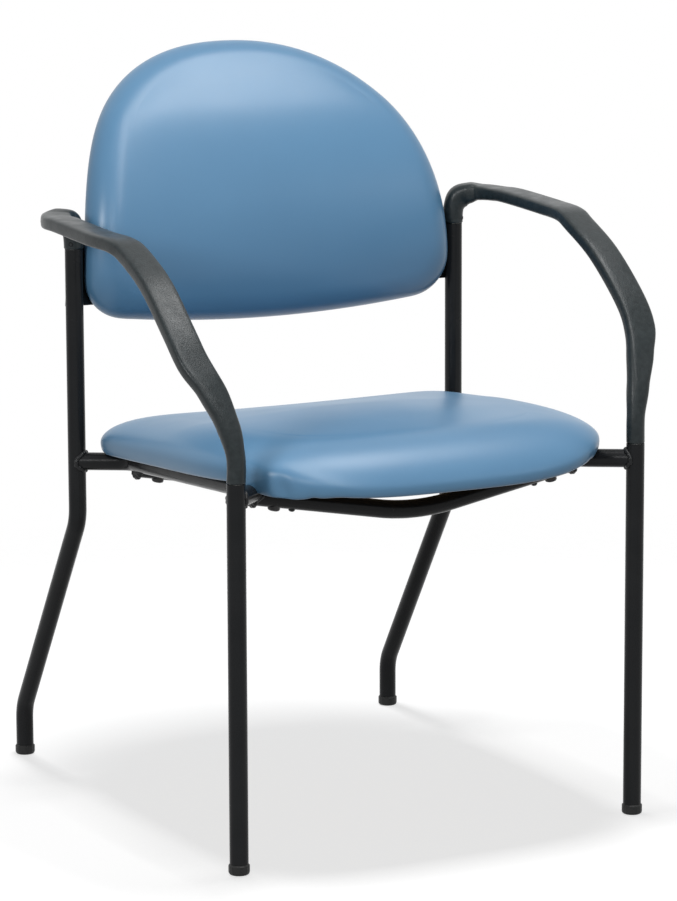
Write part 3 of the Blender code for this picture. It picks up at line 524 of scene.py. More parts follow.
def rail_corners(sign):
    """Ends and bends of a side rail's axis, from front to rear."""
    y_front, y_rear = FRONT_LEG_Y + RAIL_INSET, UPRIGHT_Y - RAIL_INSET
    return [
        Vector((sign * LEG_X, FRONT_LEG_Y, RAIL_FRONT_Z)),
        Vector((sign * RAIL_X, y_front, rail_height(y_front))),
        Vector((sign * RAIL_X, y_rear, rail_height(y_rear))),
        Vector((sign * LEG_X, UPRIGHT_Y, RAIL_REAR_Z)),
    ]


def crossbar_corners(end):
    """End, middle and end of a crossbar's axis."""
    y = CROSSBAR_Y[end]
    end_z = rail_height(y) - CROSSBAR_END_DROP
    return [
        Vector((-RAIL_X, y, end_z)),
        Vector((0, y, end_z - CROSSBAR_DIP)),
        Vector((RAIL_X, y, end_z)),
    ]


def build_frame():
    """Legs, side rails and crossbars."""
    for side, sign in SIDES.items():
        x = sign * LEG_X
        leg = [Vector((x, FRONT_LEG_Y, GLIDE_TOP)), Vector((x, FRONT_LEG_Y, FRONT_LEG_TOP))]
        tube(f"{side}_front_leg_tube", leg, f"{side}_front_leg")
        corners = [
            Vector((x, REAR_FOOT_Y, GLIDE_TOP)),
            Vector((x, REAR_FOOT_Y, REAR_LOWER_BEND)),
            Vector((x, UPRIGHT_Y, REAR_UPPER_BEND)),
            Vector((x, UPRIGHT_Y, UPRIGHT_TOP)),
        ]
        path = bent_path(corners, LEG_BEND_RADIUS, LEG_BEND_STEPS)
        tube(f"{side}_rear_leg_tube", path, f"{side}_rear_leg")
        path = bent_path(rail_corners(sign), RAIL_BEND_RADIUS, RAIL_BEND_STEPS)
        tube(f"{side}_rail_tube", path, f"{side}_side_rail")
    for end in CROSSBAR_Y:
        path = bent_path(crossbar_corners(end), CROSSBAR_BEND_RADIUS, CROSSBAR_BEND_STEPS)
        tube(f"{end}_crossbar_tube", path, f"{end}_crossbar")


def weld(stub_start, stub_heading, host_point, host_axis):
    """Bead where a tube's end meets the side of another, with the ripple of its passes."""
    across = stub_heading.orthogonal().normalized()
    up = stub_heading.cross(across)
    side = stub_heading - host_axis * stub_heading.dot(host_axis)
    path, radii = [], []
    for k, start in enumerate(circle(stub_start, across, up, TUBE_RADIUS, WELD_POINTS)):
        angle = math.tau * k / WELD_POINTS
        gap = start - host_point
        offset = gap - host_axis * gap.dot(host_axis)
        along = offset.dot(side) / side.length_squared
        miss = (offset - side * along).length
        reach = math.sqrt(max(TUBE_RADIUS ** 2 - miss ** 2, (TUBE_RADIUS / 3) ** 2)) / side.length
        path.append(start + stub_heading * (reach - along))
        ripple = WELD_RIPPLE * math.sin(WELD_RIPPLES * angle)
        radii.append(WELD_RADIUS + ripple + WELD_WANDER * math.sin(4 * angle + 1))
    return sweep(path, radii, WELD_SIDES, closed=True)


def build_welds():
    """Weld beads at the rails, the crossbars and the back brackets."""
    beads = []
    rail_axis = Vector((0, LEG_TO_UPRIGHT, RAIL_REAR_Z - RAIL_FRONT_Z)).normalized()
    for sign in SIDES.values():
        corners = rail_corners(sign)
        for start, onward in ((corners[0], corners[1]), (corners[3], corners[2])):
            beads.append(weld(start, (onward - start).normalized(), start, UP))
    for end in CROSSBAR_Y:
        left, middle, right = crossbar_corners(end)
        for start in (left, right):
            on_rail = Vector((start.x, start.y, rail_height(start.y)))
            beads.append(weld(start, (middle - start).normalized(), on_rail, rail_axis))
    for side, sign in SIDES.items():
        low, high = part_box(f"{side}_back_bracket")
        middle = (low.z + high.z) / 2
        y = UPRIGHT_Y + TUBE_RADIUS - BRACKET_WELD_SINK
        for inward in BRACKET_WELD_INSETS:
            path, radii = [], []
            for k in range(BRACKET_WELD_STEPS + 1):
                z = middle + BRACKET_WELD_HALF_LENGTH * (2 * k / BRACKET_WELD_STEPS - 1)
                path.append(Vector((sign * (LEG_X - inward), y, z)))
                radii.append(BRACKET_WELD_RADIUS + WELD_RIPPLE * math.sin(1.3 * k))
            beads.append(sweep(path, radii, WELD_SIDES))
    piece("weld_beads", merge(beads), weld_coat, sharp_angle=60)


def arm_stations():
    """Sections along the right arm: place, width, thickness, squareness, turn of the width."""
    base = Vector((LEG_X, FRONT_LEG_Y, FRONT_LEG_TOP + CLEARANCE))
    made = []
    for out, back, up, flatness in ARM_POST_SHARES:
        lean = Vector((out * ARM_KINK.x, back * ARM_KINK.y, up * (ARM_KINK.z - CLEARANCE)))
        width = 2 * TUBE_RADIUS + (ARM_WIDTH - 2 * TUBE_RADIUS) * flatness
        thickness = 2 * TUBE_RADIUS + (ARM_THICKNESS - 2 * TUBE_RADIUS) * flatness
        made.append((base + lean, width, thickness, 2 + (ARM_SQUARENESS - 2) * flatness, 0))
    kink = Vector((LEG_X, FRONT_LEG_Y, FRONT_LEG_TOP)) + ARM_KINK
    corner = Vector((LEG_X + ARM_OUTSET, FRONT_LEG_Y + ARM_CORNER_SETBACK, ARM_REST_FRONT_Z))
    rear = Vector((LEG_X + ARM_OUTSET, UPRIGHT_Y - ARM_TURN_LENGTH, ARM_REST_REAR_Z))
    step = corner - kink
    places = [kink + Vector((o * step.x, b * step.y, u * step.z)) for o, b, u in ARM_CLIMB_SHARES]
    for place in places + [corner.lerp(rear, ARM_REST_SHARE), rear]:
        made.append((place, ARM_WIDTH, ARM_THICKNESS, ARM_SQUARENESS, 0))
    drop = ARM_REST_REAR_Z - UPRIGHT_TOP - CLEARANCE
    for out, ahead, down, roundness, bulk, turn in ARM_ELBOW_SHARES:
        place = Vector((LEG_X + out * ARM_OUTSET, UPRIGHT_Y - ahead * ARM_TURN_LENGTH,
                        ARM_REST_REAR_Z - down * drop))
        width = ARM_WIDTH + (ARM_SLEEVE_DIAMETER - ARM_WIDTH) * roundness
        plain = ARM_THICKNESS + (ARM_SLEEVE_DIAMETER - ARM_THICKNESS) * roundness
        thickness = plain + (ARM_ELBOW_DEPTH - plain) * bulk
        made.append((place, width, thickness, ARM_SQUARENESS + (2 - ARM_SQUARENESS) * roundness, turn))
    return made


def arm_sections():
    """Sections between the stations, along a smooth path."""
    stations = arm_stations()
    last = len(stations) - 1
    filled = []
    for i in range(last):
        four = [stations[max(0, min(last, i + k))] for k in (-1, 0, 1, 2)]
        before, start, end, after = (s[0] for s in four)
        for step in range(ARM_STEPS):
            t = step / ARM_STEPS
            t2, t3 = t ** 2, t ** 3
            place = (start * (2 * t3 - 3 * t2 + 1) + (end - before) / 2 * (t3 - 2 * t2 + t)
                     + end * (3 * t2 - 2 * t3) + (after - start) / 2 * (t3 - t2))
            ease = 3 * t2 - 2 * t3
            sizes = [four[1][k] + (four[2][k] - four[1][k]) * ease for k in (1, 2, 3, 4)]
            filled.append((place, *sizes))
    filled.append(stations[-1])
    return filled


def build_arms():
    """Smooth moulded arms, with eased ends and the mould's parting line along both edges."""
    sections = arm_sections()
    count = len(sections)
    for side, sign in SIDES.items():
        rings = []
        for i, (place, width, thickness, squareness, turn) in enumerate(sections):
            ahead = sections[min(i + 1, count - 1)][0]
            behind = sections[max(i - 1, 0)][0]
            heading = (ahead - behind).normalized()
            if i == 0:
                heading = UP
            if i == count - 1:
                heading = -UP
            angle = math.radians(turn)
            across = Vector((math.cos(angle), math.sin(angle), 0))
            across = (across - heading * across.dot(heading)).normalized()
            up = across.cross(heading)
            ring = []
            for k in range(ARM_POINTS):
                a = math.tau * k / ARM_POINTS
                x, y = squared(math.cos(a), math.sin(a), width / 2, thickness / 2, squareness)
                if k % (ARM_POINTS // 2) == 0:
                    x *= 1 + ARM_PARTING_RIDGE / width
                ring.append(place + across * x + up * y)
            rings.append(ring)
        rims = []
        for end in (0, -1):
            centre = sections[end][0]
            outer = rings[end]
            rims.append([centre + (p - centre) * (1 - ARM_EASE / (p - centre).length) for p in outer])
            rings[end] = [p + UP * ARM_EASE for p in outer]
        rings = [rims[0], *rings, rims[1]]
        for ring in rings:
            for point in ring:
                point.x *= sign
        piece(f"{side}_arm_moulding", skin(rings), arm_plastic, [f"{side}_arm"], sharp_angle=60)


def lengths_along(points):
    """Length along a run of points, from zero."""
    gaps = np.linalg.norm(np.diff(points, axis=0), axis=1)
    return np.concatenate([[0], np.cumsum(gaps)])


def shares_along(points):
    """Share of a run's length at each of its points."""
    length = lengths_along(points)
    return length / length[-1]


def resample(run, count):
    """Points along a run, closer together near its two ends."""
    length = lengths_along(run)
    total = length[-1]
    fine = np.linspace(0, total, RUN_STEPS)
    near_end = np.minimum(fine, total - fine)
    weight = 1 + END_CROWDING * np.exp(-(near_end / END_CROWDING_REACH) ** 2)
    share = np.concatenate([[0], np.cumsum((weight[1:] + weight[:-1]) / 2)])
    wanted = np.interp(np.linspace(0, share[-1], count + 1), share, fine)
    return np.column_stack([np.interp(wanted, length, run[:, k]) for k in range(2)])


def nearest(points, corners):
    """Index of the point nearest to each corner."""
    return [int(np.argmin(np.linalg.norm(points - np.array(c), axis=1))) for c in corners]


def four_sides(outline, corners, cells):
    """The outline as one ring of points: front, right, rear, left, split at four corners."""
    spots = nearest(outline, corners)
    ring = []
    for k in range(4):
        start, end = spots[k], spots[(k + 1) % 4]
        run = outline[start:end + 1]
        if end <= start:
            run = np.vstack([outline[start:], outline[:end + 1]])
        ring.append(resample(run, cells)[:-1])
    return np.vstack(ring)


def inset(ring, distance):
    """A ring drawn in square to itself."""
    along = np.roll(ring, -1, axis=0) - np.roll(ring, 1, axis=0)
    along /= np.linalg.norm(along, axis=1)[:, None]
    return ring + np.column_stack([-along[:, 1], along[:, 0]]) * distance


def patch(ring, cells):
    """Grid inside a ring of four sides, blended from the sides; rows run from front to rear."""
    front = ring[:cells + 1]
    right = ring[cells:2 * cells + 1]
    rear = ring[2 * cells:3 * cells + 1][::-1]
    left = np.vstack([ring[3 * cells:], ring[:1]])[::-1]
    u = (shares_along(front) + shares_along(rear)) / 2
    v = (shares_along(left) + shares_along(right)) / 2
    rows = []
    for j in range(cells + 1):
        between = (1 - v[j]) * front + v[j] * rear
        sides = np.outer(1 - u, left[j]) + np.outer(u, right[j])
        corner = (np.outer((1 - u) * (1 - v[j]), front[0]) + np.outer(u * (1 - v[j]), front[-1])
                  + np.outer((1 - u) * v[j], rear[0]) + np.outer(u * v[j], rear[-1]))
        rows.append(between + sides - corner)
    return rows


def ring_share(points, ring):
    """How far out each point is between the middle of a ring, 0, and the ring itself, 1."""
    middle = ring.mean(axis=0)
    offset = ring - middle
    angle = np.arctan2(offset[:, 1], offset[:, 0])
    order = np.argsort(angle)
    reach = np.linalg.norm(offset, axis=1)[order]
    angle = angle[order]
    angle = np.concatenate([[angle[-1] - math.tau], angle, [angle[0] + math.tau]])
    reach = np.concatenate([[reach[-1]], reach, [reach[0]]])
    away = points - middle
    limit = np.interp(np.arctan2(away[:, 1], away[:, 0]), angle, reach)
    return np.linalg.norm(away, axis=1) / limit


class Pad:
    """A padded form: rings from under the board, round the edge, to a crowned top of square cells."""

    def __init__(self, ring, cells):
        self.ring, self.cells = ring, cells
        self.points, self.layers = [], []

    def add_ring(self, ring, height):
        """Add one ring at a height."""
        start = len(self.points)
        self.points += [(x, y, height) for x, y in ring]
        self.layers.append(start)

    def grid(self, layer, height):
        """Indices of a grid inside one ring; a function of their share gives its inner points' heights."""
        count = len(self.ring)
        start = self.layers[layer]
        ring = np.array([p[:2] for p in self.points[start:start + count]])
        cells = self.cells
        rows = patch(ring, cells)
        indices = []
        for j, row in enumerate(rows):
            shares = ring_share(row, ring)
            line = []
            for i in range(cells + 1):
                if j == 0:
                    line.append(start + i)
                elif i == cells:
                    line.append(start + cells + j)
                elif j == cells:
                    line.append(start + 3 * cells - i)
                elif i == 0:
                    line.append(start + (4 * cells - j) % count)
                else:
                    line.append(len(self.points))
                    self.points.append((row[i][0], row[i][1], height(shares[i])))
            indices.append(line)
        return indices

    def build(self, shape, crown_top, crown, floor):
        """Faces of the whole closed form, each point put through its shape."""
        count = len(self.ring)
        top = self.grid(-1, lambda share: crown_top + crown * max(0, 1 - share ** 2) ** 1.5)
        bottom = self.grid(0, lambda share: floor)
        mesh = bmesh.new()
        verts = [mesh.verts.new(shape(Vector(p))) for p in self.points]
        for low, high in zip(self.layers, self.layers[1:]):
            for i in range(count):
                j = (i + 1) % count
                mesh.faces.new((verts[low + i], verts[low + j], verts[high + j], verts[high + i]))
        for rows, flip in ((top, False), (bottom, True)):
            for low, high in zip(rows, rows[1:]):
                for i in range(self.cells):
                    face = [verts[low[i]], verts[low[i + 1]], verts[high[i + 1]], verts[high[i]]]
                    mesh.faces.new(face[::-1] if flip else face)
        return mesh


def padded_form(ring, shoulder, cells, sizes, shape):
    """Closed form of a pad: a lip turned in under the board, an undercut edge and a dome."""
    seam, rise, crown, board_gap = sizes
    rise -= PAD_SHRINK
    crown -= PAD_SHRINK
    pad = Pad(ring, cells)
    drop = seam + PAD_UNDER_DROP
    pad.add_ring(inset(ring, PAD_LIP + PAD_LIP_TUCK), board_gap)
    pad.add_ring(inset(ring, PAD_LIP), -PAD_UNDER_DROP)
    pad.add_ring(inset(ring, PAD_LIP * PAD_LIP_MIDDLE), -PAD_UNDER_DROP)
    for angle in (90, 60, 30):
        turn = math.radians(angle)
        pad.add_ring(inset(ring, PAD_UNDERCUT * (1 - math.cos(turn))), seam - drop * math.sin(turn))
    pad.add_ring(ring, seam)
    for step in range(1, PAD_DOME_STEPS + 1):
        turn = math.pi / 2 * step / PAD_DOME_STEPS
        share = 1 - math.cos(turn)
        pad.add_ring(ring + (shoulder - ring) * share, seam + rise * math.sin(turn))
    return pad.build(shape, seam + rise, crown, board_gap), pad


def seat_place():
    """Place of the seat: x across, y along the rails, z square to them, zero under the board."""
    pitch = math.atan2(RAIL_FRONT_Z - RAIL_REAR_Z, LEG_TO_UPRIGHT)
    middle = Vector((0, FRONT_LEG_Y + LEG_TO_UPRIGHT / 2, (RAIL_FRONT_Z + RAIL_REAR_Z) / 2))
    return (Matrix.Translation(middle) @ Matrix.Rotation(-pitch, 4, "X")
            @ Matrix.Translation((0, 0, SEAT_LIFT)))


SEAT_PLACE = seat_place()


def seat_shape(point):
    """The seat's nose bends down; its foam thins to the front and rear, but for full rear corners."""
    share = max(0.0, (SEAT_NOSE_LENGTH - SEAT_FRONT_REACH - point.y) / SEAT_NOSE_LENGTH)
    droop = SEAT_NOSE_DROOP * share ** 2
    if point.y > 0:
        share_back = point.y / SEAT_REAR_REACH
        fullness = SEAT_CORNER_FULLNESS * (share_back * point.x / SEAT_HALF_WIDTH) ** 2
        thinning = SEAT_REAR_THINNING * share_back - fullness
    else:
        thinning = SEAT_FRONT_THINNING * (point.y / SEAT_FRONT_REACH) ** 2
    above = max(0.0, point.z - SEAT_SEAM) / SEAT_RISE
    return SEAT_PLACE @ Vector((point.x, point.y, point.z - droop - thinning * above))


def back_shape(point):
    """Bend a flat layer of the back to its profile: x across, y up the pad, z forward."""
    angle = min(point.y / BACK_RADIUS, BACK_TOP_LEAN)
    straight = point.y - angle * BACK_RADIUS
    reach = BACK_BOARD_RADIUS + point.z
    y = BACK_BOARD_Y + BACK_BOARD_RADIUS - reach * math.cos(angle) + straight * math.sin(angle)
    z = BACK_LEVEL_Z + reach * math.sin(angle) + straight * math.cos(angle)
    return Vector((point.x, y, z))


def seat_outline():
    """Plan of the seat: square at the rear, rounder at the front."""
    points = []
    for i in range(SEAT_OUTLINE_STEPS):
        angle = math.tau * i / SEAT_OUTLINE_STEPS
        cos, sin = math.cos(angle), math.sin(angle)
        reach = SEAT_REAR_REACH if sin > 0 else SEAT_FRONT_REACH
        squareness = SEAT_REAR_SQUARENESS if sin > 0 else SEAT_FRONT_SQUARENESS
        points.append(squared(cos, sin, SEAT_HALF_WIDTH, reach, squareness))
    return np.array(points)


def softened(outline, spacing, window):
    """A closed outline in even steps, its joints eased by averaging over a window."""
    run = np.vstack([outline, outline[:1]])
    length = lengths_along(run)
    count = int(length[-1] / spacing)
    even = np.linspace(0, length[-1], count, endpoint=False)
    ring = np.column_stack([np.interp(even, length, run[:, k]) for k in range(2)])
    for _ in range(2):
        ring = sum(np.roll(ring, k - window // 2, axis=0) for k in range(window)) / window
    return ring


def back_outline():
    """Outline of the back: half an oval over rounded lower corners and a sagging lower edge."""
    points = []
    rise = BACK_ABOVE + BACK_WIDEST_BELOW
    for i in range(BACK_ARCH_STEPS + 1):
        angle = math.pi * i / BACK_ARCH_STEPS
        x, y = squared(math.cos(angle), math.sin(angle), BACK_HALF_WIDTH, rise, BACK_SQUARENESS)
        points.append((x, y - BACK_WIDEST_BELOW))
    corner_x = BACK_HALF_WIDTH - BACK_CORNER
    corner_y = -BACK_BELOW + BACK_SAG + BACK_CORNER
    corner = []
    start = math.asin((corner_y + BACK_WIDEST_BELOW) / BACK_CORNER) + BACK_CORNER_LEAD
    for i in range(BACK_CORNER_STEPS + 1):
        angle = start + (math.pi / 2 - start) * i / BACK_CORNER_STEPS
        x = corner_x + BACK_CORNER * math.cos(angle)
        corner.append((x, corner_y - BACK_CORNER * math.sin(angle)))
    points += [(-x, y) for x, y in corner]
    for i in range(1, BACK_SAG_STEPS):
        x = -corner_x + 2 * corner_x * i / BACK_SAG_STEPS
        points.append((x, -BACK_BELOW + BACK_SAG * (x / corner_x) ** 2))
    points += corner[::-1]
    return softened(np.array(points), BACK_OUTLINE_SPACING, BACK_OUTLINE_WINDOW)


def scaled(ring, middle, edge, low, high):
    """A ring drawn in by an edge width at its four extremes and evenly between them."""
    out = ring.copy()
    half = np.abs(ring[:, 0]).max()
    out[:, 0] *= 1 - edge / half
    up = ring[:, 1] - middle
    above = up * (1 - edge / (high - middle))
    below = up * (1 - edge / (middle - low))
    out[:, 1] = middle + np.where(up > 0, above, below)
    return out


def swell(made, pinned):
    """Let the foam push the cover out: cloth under pressure, held where the board holds it.

    Of the movement, only the even swelling along the surface's own direction is kept.
    """
    group = made.vertex_groups.new(name="held")
    for index, weight in pinned.items():
        group.add([index], weight, "REPLACE")
    cloth = made.modifiers.new("Cover", "CLOTH")
    settings = cloth.settings
    settings.quality = 6
    settings.mass = 0.3
    settings.tension_stiffness = 25
    settings.compression_stiffness = 25
    settings.shear_stiffness = 12
    settings.bending_stiffness = 4
    settings.use_pressure = True
    settings.uniform_pressure_force = 4.0
    settings.effector_weights.gravity = 0
    settings.vertex_group_mass = "held"
    cloth.collision_settings.use_collision = False
    cloth.point_cache.frame_end = CLOTH_FRAMES
    scene = bpy.context.scene
    for step in range(1, CLOTH_FRAMES + 1):
        scene.frame_set(step)
    shown = made.evaluated_get(bpy.context.evaluated_depsgraph_get())
    swollen = [v.co.copy() for v in shown.data.vertices]
    scene.frame_set(1)
    made.modifiers.remove(cloth)
    vertices = made.data.vertices
    normals = [v.normal.copy() for v in vertices]
    moves = np.array([(p - v.co).dot(n) for p, v, n in zip(swollen, vertices, normals)])
    moves = np.clip(moves, 0, PAD_SWELL_CAP)
    ends = np.array([edge.vertices[:] for edge in made.data.edges])
    degree = np.bincount(ends.ravel(), minlength=len(moves))
    held = np.array([pinned.get(i, 0.0) for i in range(len(moves))])
    for _ in range(SWELL_SMOOTHING):
        total = np.bincount(ends[:, 0], moves[ends[:, 1]], len(moves))
        total += np.bincount(ends[:, 1], moves[ends[:, 0]], len(moves))
        moves = (SWELL_KEPT * moves + (1 - SWELL_KEPT) * total / degree) * (1 - held)
    for vertex, normal, move in zip(vertices, normals, moves):
        vertex.co += normal * move
    made.vertex_groups.remove(group)


def finish_pad(made, pad, folds):
    """Swell a pad, draw its pleats in, let its slack hang and smooth it."""
    count = len(pad.ring)
    pinned = {}
    for layer, weight in PAD_HELD.items():
        start = pad.layers[layer]
        for i in range(start, start + count):
            pinned[i] = weight
    inner = pad.layers[-1] + count
    top_inner = (pad.cells - 1) ** 2
    for i in range(inner + top_inner, len(pad.points)):
        pinned[i] = 1.0
    swell(made, pinned)
    made.data.update()
    normals = [v.normal.copy() for v in made.data.vertices]
    length = lengths_along(np.vstack([pad.ring, pad.ring[:1]]))
    for spot, reach, pitch, layers in folds:
        for i in range(count):
            away = abs(length[i] - spot)
            away = min(away, length[-1] - away)
            if away > reach:
                continue
            wave = (0.5 + 0.5 * math.cos(math.tau * away / pitch)) ** 3 if pitch else 1
            pull = wave * (1 - (away / reach) ** 2)
            for layer, depth in layers.items():
                vertex = made.data.vertices[pad.layers[layer] + i]
                vertex.co -= (normals[vertex.index] if pitch else UP) * depth * pull
    smooth = made.modifiers.new("Smooth", "SUBSURF")
    smooth.levels = 1
    smooth.render_levels = 1


def corner_spots(ring, corners):
    """Length along a ring at each corner."""
    length = lengths_along(np.vstack([ring, ring[:1]]))
    return [float(length[i]) for i in nearest(ring, corners)]


def build_staples(ring):
    """Staples that hold the seat's cover under its board, each set a little askew."""
    staples = []
    line = inset(ring, STAPLE_INSET)
    length = lengths_along(np.vstack([line, line[:1]]))
    total = length[-1]
    number = int(total / STAPLE_PITCH)
    for k in range(number):
        spot = total * k / number
        i = int(np.searchsorted(length, spot)) % len(line)
        here, after = Vector((*line[i], 0)), Vector((*line[(i + 1) % len(line)], 0))
        heading = (after - here).normalized()
        across_line = Vector((-heading.y, heading.x, 0))
        lean = (heading + across_line * STAPLE_LEAN * math.sin(2.7 * k)).normalized()
        path = []
        for reach, sink in STAPLE_BENDS:
            path.append(seat_shape(here + lean * reach + UP * (STAPLE_LEVEL + sink)))
        staples.append(sweep(path, [STAPLE_RADIUS] * len(path), STAPLE_SIDES))
    piece("seat_staples", merge(staples), zinc)


def build_seat():
    """Seat cushion, its board and its staples."""
    ring = four_sides(seat_outline(), SEAT_CORNERS, SEAT_CELLS)
    shoulder = scaled(ring, 0.0, SEAT_EDGE, -SEAT_FRONT_REACH, SEAT_REAR_REACH)
    sizes = (SEAT_SEAM, SEAT_RISE, SEAT_CROWN, SEAT_BOARD_GAP)
    mesh, pad = padded_form(ring, shoulder, SEAT_CELLS, sizes, seat_shape)
    made = piece("seat_cushion", mesh, vinyl, ["seat_cover", "seat_foam"], sharp_angle=180)
    spots = corner_spots(ring, SEAT_CORNERS)
    folds = [(spot, *SEAT_PLEATS) for spot in spots[1:]]
    folds += [(spots[0] + shift, *fold) for shift, *fold in SLACK_CORNER]
    finish_pad(made, pad, folds)
    plank = Pad(ring, SEAT_CELLS)
    eased = BOARD_INSET + BOARD_EASE
    for distance, height in ((eased, 0), (BOARD_INSET, BOARD_EASE),
                             (BOARD_INSET, BOARD_THICKNESS - BOARD_EASE), (eased, BOARD_THICKNESS)):
        plank.add_ring(inset(ring, distance), height)
    mesh = plank.build(seat_shape, BOARD_THICKNESS, 0.0, 0.0)
    piece("seat_plank", mesh, ply, ["seat_board"])
    build_staples(ring)


def build_back():
    """Back cushion and the covered panel behind it."""
    ring = four_sides(back_outline(), BACK_CORNERS, BACK_CELLS)
    shoulder = scaled(ring, BACK_MIDDLE, BACK_EDGE, -BACK_BELOW, BACK_ABOVE)
    sizes = (BACK_SEAM, BACK_RISE, BACK_CROWN, BACK_BOARD_GAP)
    mesh, pad = padded_form(ring, shoulder, BACK_CELLS, sizes, back_shape)
    made = piece("back_cushion", mesh, vinyl, ["back_cover", "back_foam"], sharp_angle=180)
    lower_spots = corner_spots(ring, BACK_CORNERS)[:2]
    finish_pad(made, pad, [(spot, *BACK_PLEATS) for spot in lower_spots])
    edge = inset(ring, PANEL_INSET)
    panel = Pad(edge, BACK_CELLS)
    half = (PANEL_FRONT - PANEL_REAR) / 2
    middle = (PANEL_FRONT + PANEL_REAR) / 2
    for degrees in range(90, -91, -30):
        turn = math.radians(degrees)
        panel.add_ring(inset(edge, half * 2 * (1 - math.cos(turn))), middle - half * math.sin(turn))
    mesh = panel.build(back_shape, PANEL_FRONT, 0.0, PANEL_REAR)
    piece("back_outer_panel", mesh, vinyl, ["back_rear_panel"], sharp_angle=50)


def turned(profile, sides, base, axis):
    """Revolve (radius, height) points about an axis from a base point."""
    across = axis.orthogonal().normalized()
    up = axis.cross(across)
    return skin([circle(base + axis * height, across, up, radius, sides) for radius, height in profile])


def down_from(axis):
    """Direction square to an axis, as near to straight down as it goes."""
    return (-UP + axis * UP.dot(axis)).normalized()


def build_trim():
    """Sleeve screws, nylon buttons under the front crossbar, bolt heads and eased bracket edges."""
    screws, buttons = [], []
    left, middle, right = crossbar_corners("front")
    for sign, end in ((-1, left), (1, right)):
        outward = Vector((sign * SCREW_FACING.x, SCREW_FACING.y, 0))
        on_sleeve = Vector((sign * LEG_X, UPRIGHT_Y, UPRIGHT_TOP + SCREW_HEIGHT))
        on_sleeve += outward * (ARM_SLEEVE_DIAMETER / 2)
        screws.append(turned(SCREW_PROFILE, TRIM_SIDES, on_sleeve, outward))
        down = down_from((end - middle).normalized())
        on_bar = middle.lerp(end, BUTTON_X / RAIL_X) + down * TUBE_RADIUS
        buttons.append(turned(BUTTON_PROFILE, TRIM_SIDES, on_bar, down))
    for bar in CROSSBAR_Y:
        ends = crossbar_corners(bar)
        for side, end in (("left", ends[0]), ("right", ends[2])):
            down = down_from((end - ends[1]).normalized())
            place = ends[1].lerp(end, BOLT_X / RAIL_X) + down * TUBE_RADIUS
            head = turned(BOLT_HEAD_PROFILE, BOLT_HEAD_SIDES, place, down)
            name = f"{bar}_{side}_seat_bolt"
            piece(f"{name}_head", head, oxide, [name])
    piece("sleeve_screws", merge(screws), powder)
    piece("crossbar_buttons", merge(buttons), foot_plastic)
    for side in SIDES:
        ease = nodes[f"{side}_back_bracket"].modifiers.new("Ease", "BEVEL")
        ease.width = BRACKET_EASE
        ease.segments = 2
        ease.limit_method = "ANGLE"


build_frame()
build_welds()
build_arms()
build_seat()
build_back()
build_trim()


def light_path(tree):
    """One where the camera, or a reflection or refraction, looks; zero for lighting."""
    path = add_node(tree, "ShaderNodeLightPath")
    total = path.outputs["Is Camera Ray"]
    for name in ("Is Glossy Ray", "Is Transmission Ray"):
        both = add_node(tree, "ShaderNodeMath", operation="MAXIMUM")
        tree.links.new(total, both.inputs[0])
        tree.links.new(path.outputs[name], both.inputs[1])
        total = both.outputs["Value"]
    return total


def blend(tree, share, first, second, output_kind):
    """Two shaders mixed by a share, as the tree's output."""
    mix = add_node(tree, "ShaderNodeMixShader")
    for source, target in zip((share, first.outputs[0], second.outputs[0]), mix.inputs):
        tree.links.new(source, target)
    output = add_node(tree, output_kind)
    tree.links.new(mix.outputs["Shader"], output.inputs["Surface"])


def build_world():
    """White surroundings that light the chair softly."""
    world = bpy.data.worlds.new("studio")
    bpy.context.scene.world = world
    world.use_nodes = True
    tree = world.node_tree
    tree.nodes.clear()
    soft = add_node(tree, "ShaderNodeBackground", color=(0.97, 0.985, 1, 1), strength=WORLD_LIGHT)
    white = add_node(tree, "ShaderNodeBackground", color=(1, 1, 1, 1))
    blend(tree, light_path(tree), soft, white, "ShaderNodeOutputWorld")


def build_floor():
    """Pale floor that takes the shadow and fades into the white surroundings."""
    mesh = bmesh.new()
    bmesh.ops.create_circle(mesh, cap_ends=True, segments=96, radius=FLOOR_RADIUS)
    data = bpy.data.meshes.new("floor")
    mesh.to_mesh(data)
    mesh.free()
    floor = bpy.data.objects.new("floor", data)
    floor.location.z = -FLOOR_GAP
    bpy.context.scene.collection.objects.link(floor)
    made = bpy.data.materials.new("floor")
    made.use_nodes = True
    tree = made.node_tree
    tree.nodes.clear()
    link = tree.links.new
    paint = add_node(tree, "ShaderNodeBsdfDiffuse", color=(0.60, 0.60, 0.60, 1))
    glow = add_node(tree, "ShaderNodeEmission")
    both = add_node(tree, "ShaderNodeAddShader")
    clear = add_node(tree, "ShaderNodeBsdfTransparent")
    level = add_node(tree, "ShaderNodeMath", operation="MULTIPLY")
    level.inputs[1].default_value = FLOOR_GLOW
    link(light_path(tree), level.inputs[0])
    link(level.outputs["Value"], glow.inputs["Strength"])
    place = add_node(tree, "ShaderNodeTexCoord").outputs["Object"]
    away = add_node(tree, "ShaderNodeVectorMath", operation="LENGTH")
    link(place, away.inputs[0])
    near, far = FLOOR_FADE
    fade = add_node(tree, "ShaderNodeMapRange", interpolation_type="SMOOTHSTEP",
                    from_min=near, from_max=far)
    link(away.outputs["Value"], fade.inputs["Value"])
    link(paint.outputs["BSDF"], both.inputs[0])
    link(glow.outputs["Emission"], both.inputs[1])
    blend(tree, fade.outputs["Result"], both, clear, "ShaderNodeOutputMaterial")
    data.materials.append(made)


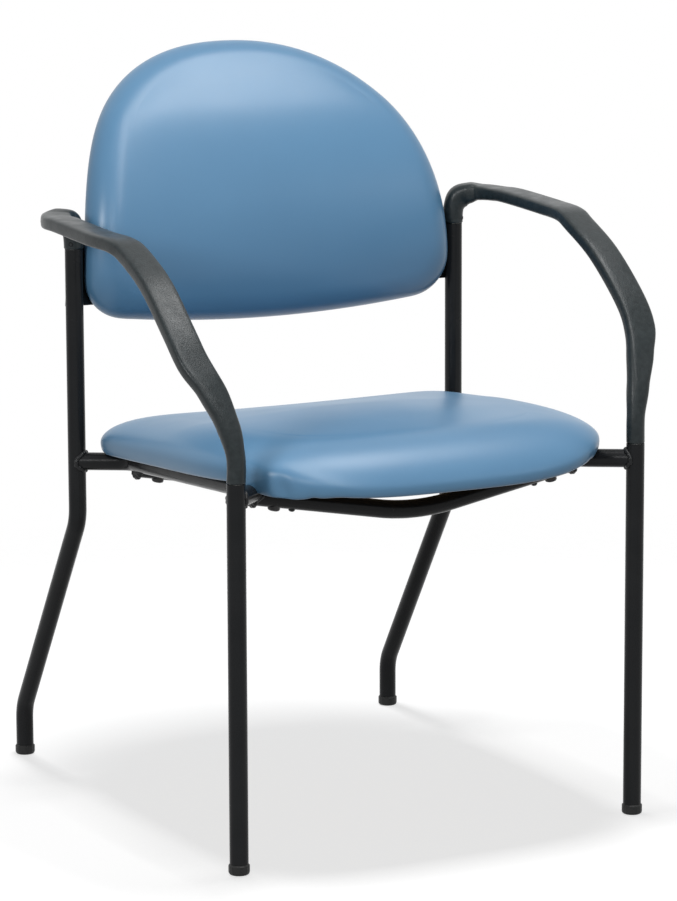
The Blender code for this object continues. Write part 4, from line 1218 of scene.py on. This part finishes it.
def softbox(name, place, aim, size, energy, floor_link="EXCLUDE"):
    """Rectangular studio light for all but the floor, or for the floor alone."""
    lamp = bpy.data.lights.new(name, "AREA")
    lamp.shape = "RECTANGLE"
    lamp.size, lamp.size_y = size
    lamp.energy = energy
    made = bpy.data.objects.new(name, lamp)
    made.location = place
    made.rotation_euler = (Vector(aim) - Vector(place)).to_track_quat("-Z", "Y").to_euler()
    bpy.context.scene.collection.objects.link(made)
    reach = bpy.data.collections.new(f"{name}_reach")
    reach.objects.link(bpy.data.objects["floor"])
    reach.collection_objects[0].light_linking.link_state = floor_link
    made.light_linking.receiver_collection = reach


def build_camera():
    """Camera at the photograph's place."""
    level = math.cos(CAMERA_ELEVATION)
    back = Vector((math.sin(CAMERA_AZIMUTH) * level, -math.cos(CAMERA_AZIMUTH) * level,
                   math.sin(CAMERA_ELEVATION)))
    right = Vector((math.cos(CAMERA_AZIMUTH), math.sin(CAMERA_AZIMUTH), 0))
    up = back.cross(right)
    data = bpy.data.cameras.new("camera")
    data.sensor_width = SENSOR_WIDTH
    data.lens = FOCAL_PIXELS / PICTURE_HEIGHT * SENSOR_WIDTH
    data.shift_x = (PICTURE_WIDTH / 2 - PRINCIPAL_X) / PICTURE_HEIGHT
    data.shift_y = (PRINCIPAL_Y - PICTURE_HEIGHT / 2) / PICTURE_HEIGHT
    data.clip_end = 100
    made = bpy.data.objects.new("camera", data)
    turn = Matrix((right, up, back)).transposed().to_4x4() @ Matrix.Rotation(CAMERA_ROLL, 4, "Z")
    made.matrix_world = Matrix.Translation(CAMERA_AIM + CAMERA_DISTANCE * back) @ turn
    bpy.context.scene.collection.objects.link(made)
    bpy.context.scene.camera = made


build_world()
build_floor()
softbox("overhead_strip", (0.04, -1.75, 2.30), (0.04, -1.75, 0), (0.55, 3.7), 45)
softbox("overhead_right", (0.70, -0.08, 2.30), (0.70, -0.08, 0), (0.6, 0.6), 12)
softbox("overhead_left", (-0.60, -1.20, 2.30), (-0.60, -1.20, 0), (0.9, 2.4), 4)
softbox("left_fill", (-2.50, -1.25, 1.50), (0, 0, 0.45), (0.6, 0.7), 32)
softbox("front_fill", (-1.28, -2.45, 1.70), (0, 0, 0.5), (0.9, 0.9), 12)
softbox("right_fill", (2.20, -2.60, 2.05), (0, 0, 0.6), (0.40, 0.5), 3)
softbox("front_low", (0.55, -3.60, 1.25), (0.15, -0.2, 0.5), (0.5, 0.5), 1.5)
softbox("floor_light", (0, 0, 2.80), (0, 0, 0), (0.5, 0.5), 41, "INCLUDE")
build_camera()
bpy.context.scene.view_settings.view_transform = "Standard"
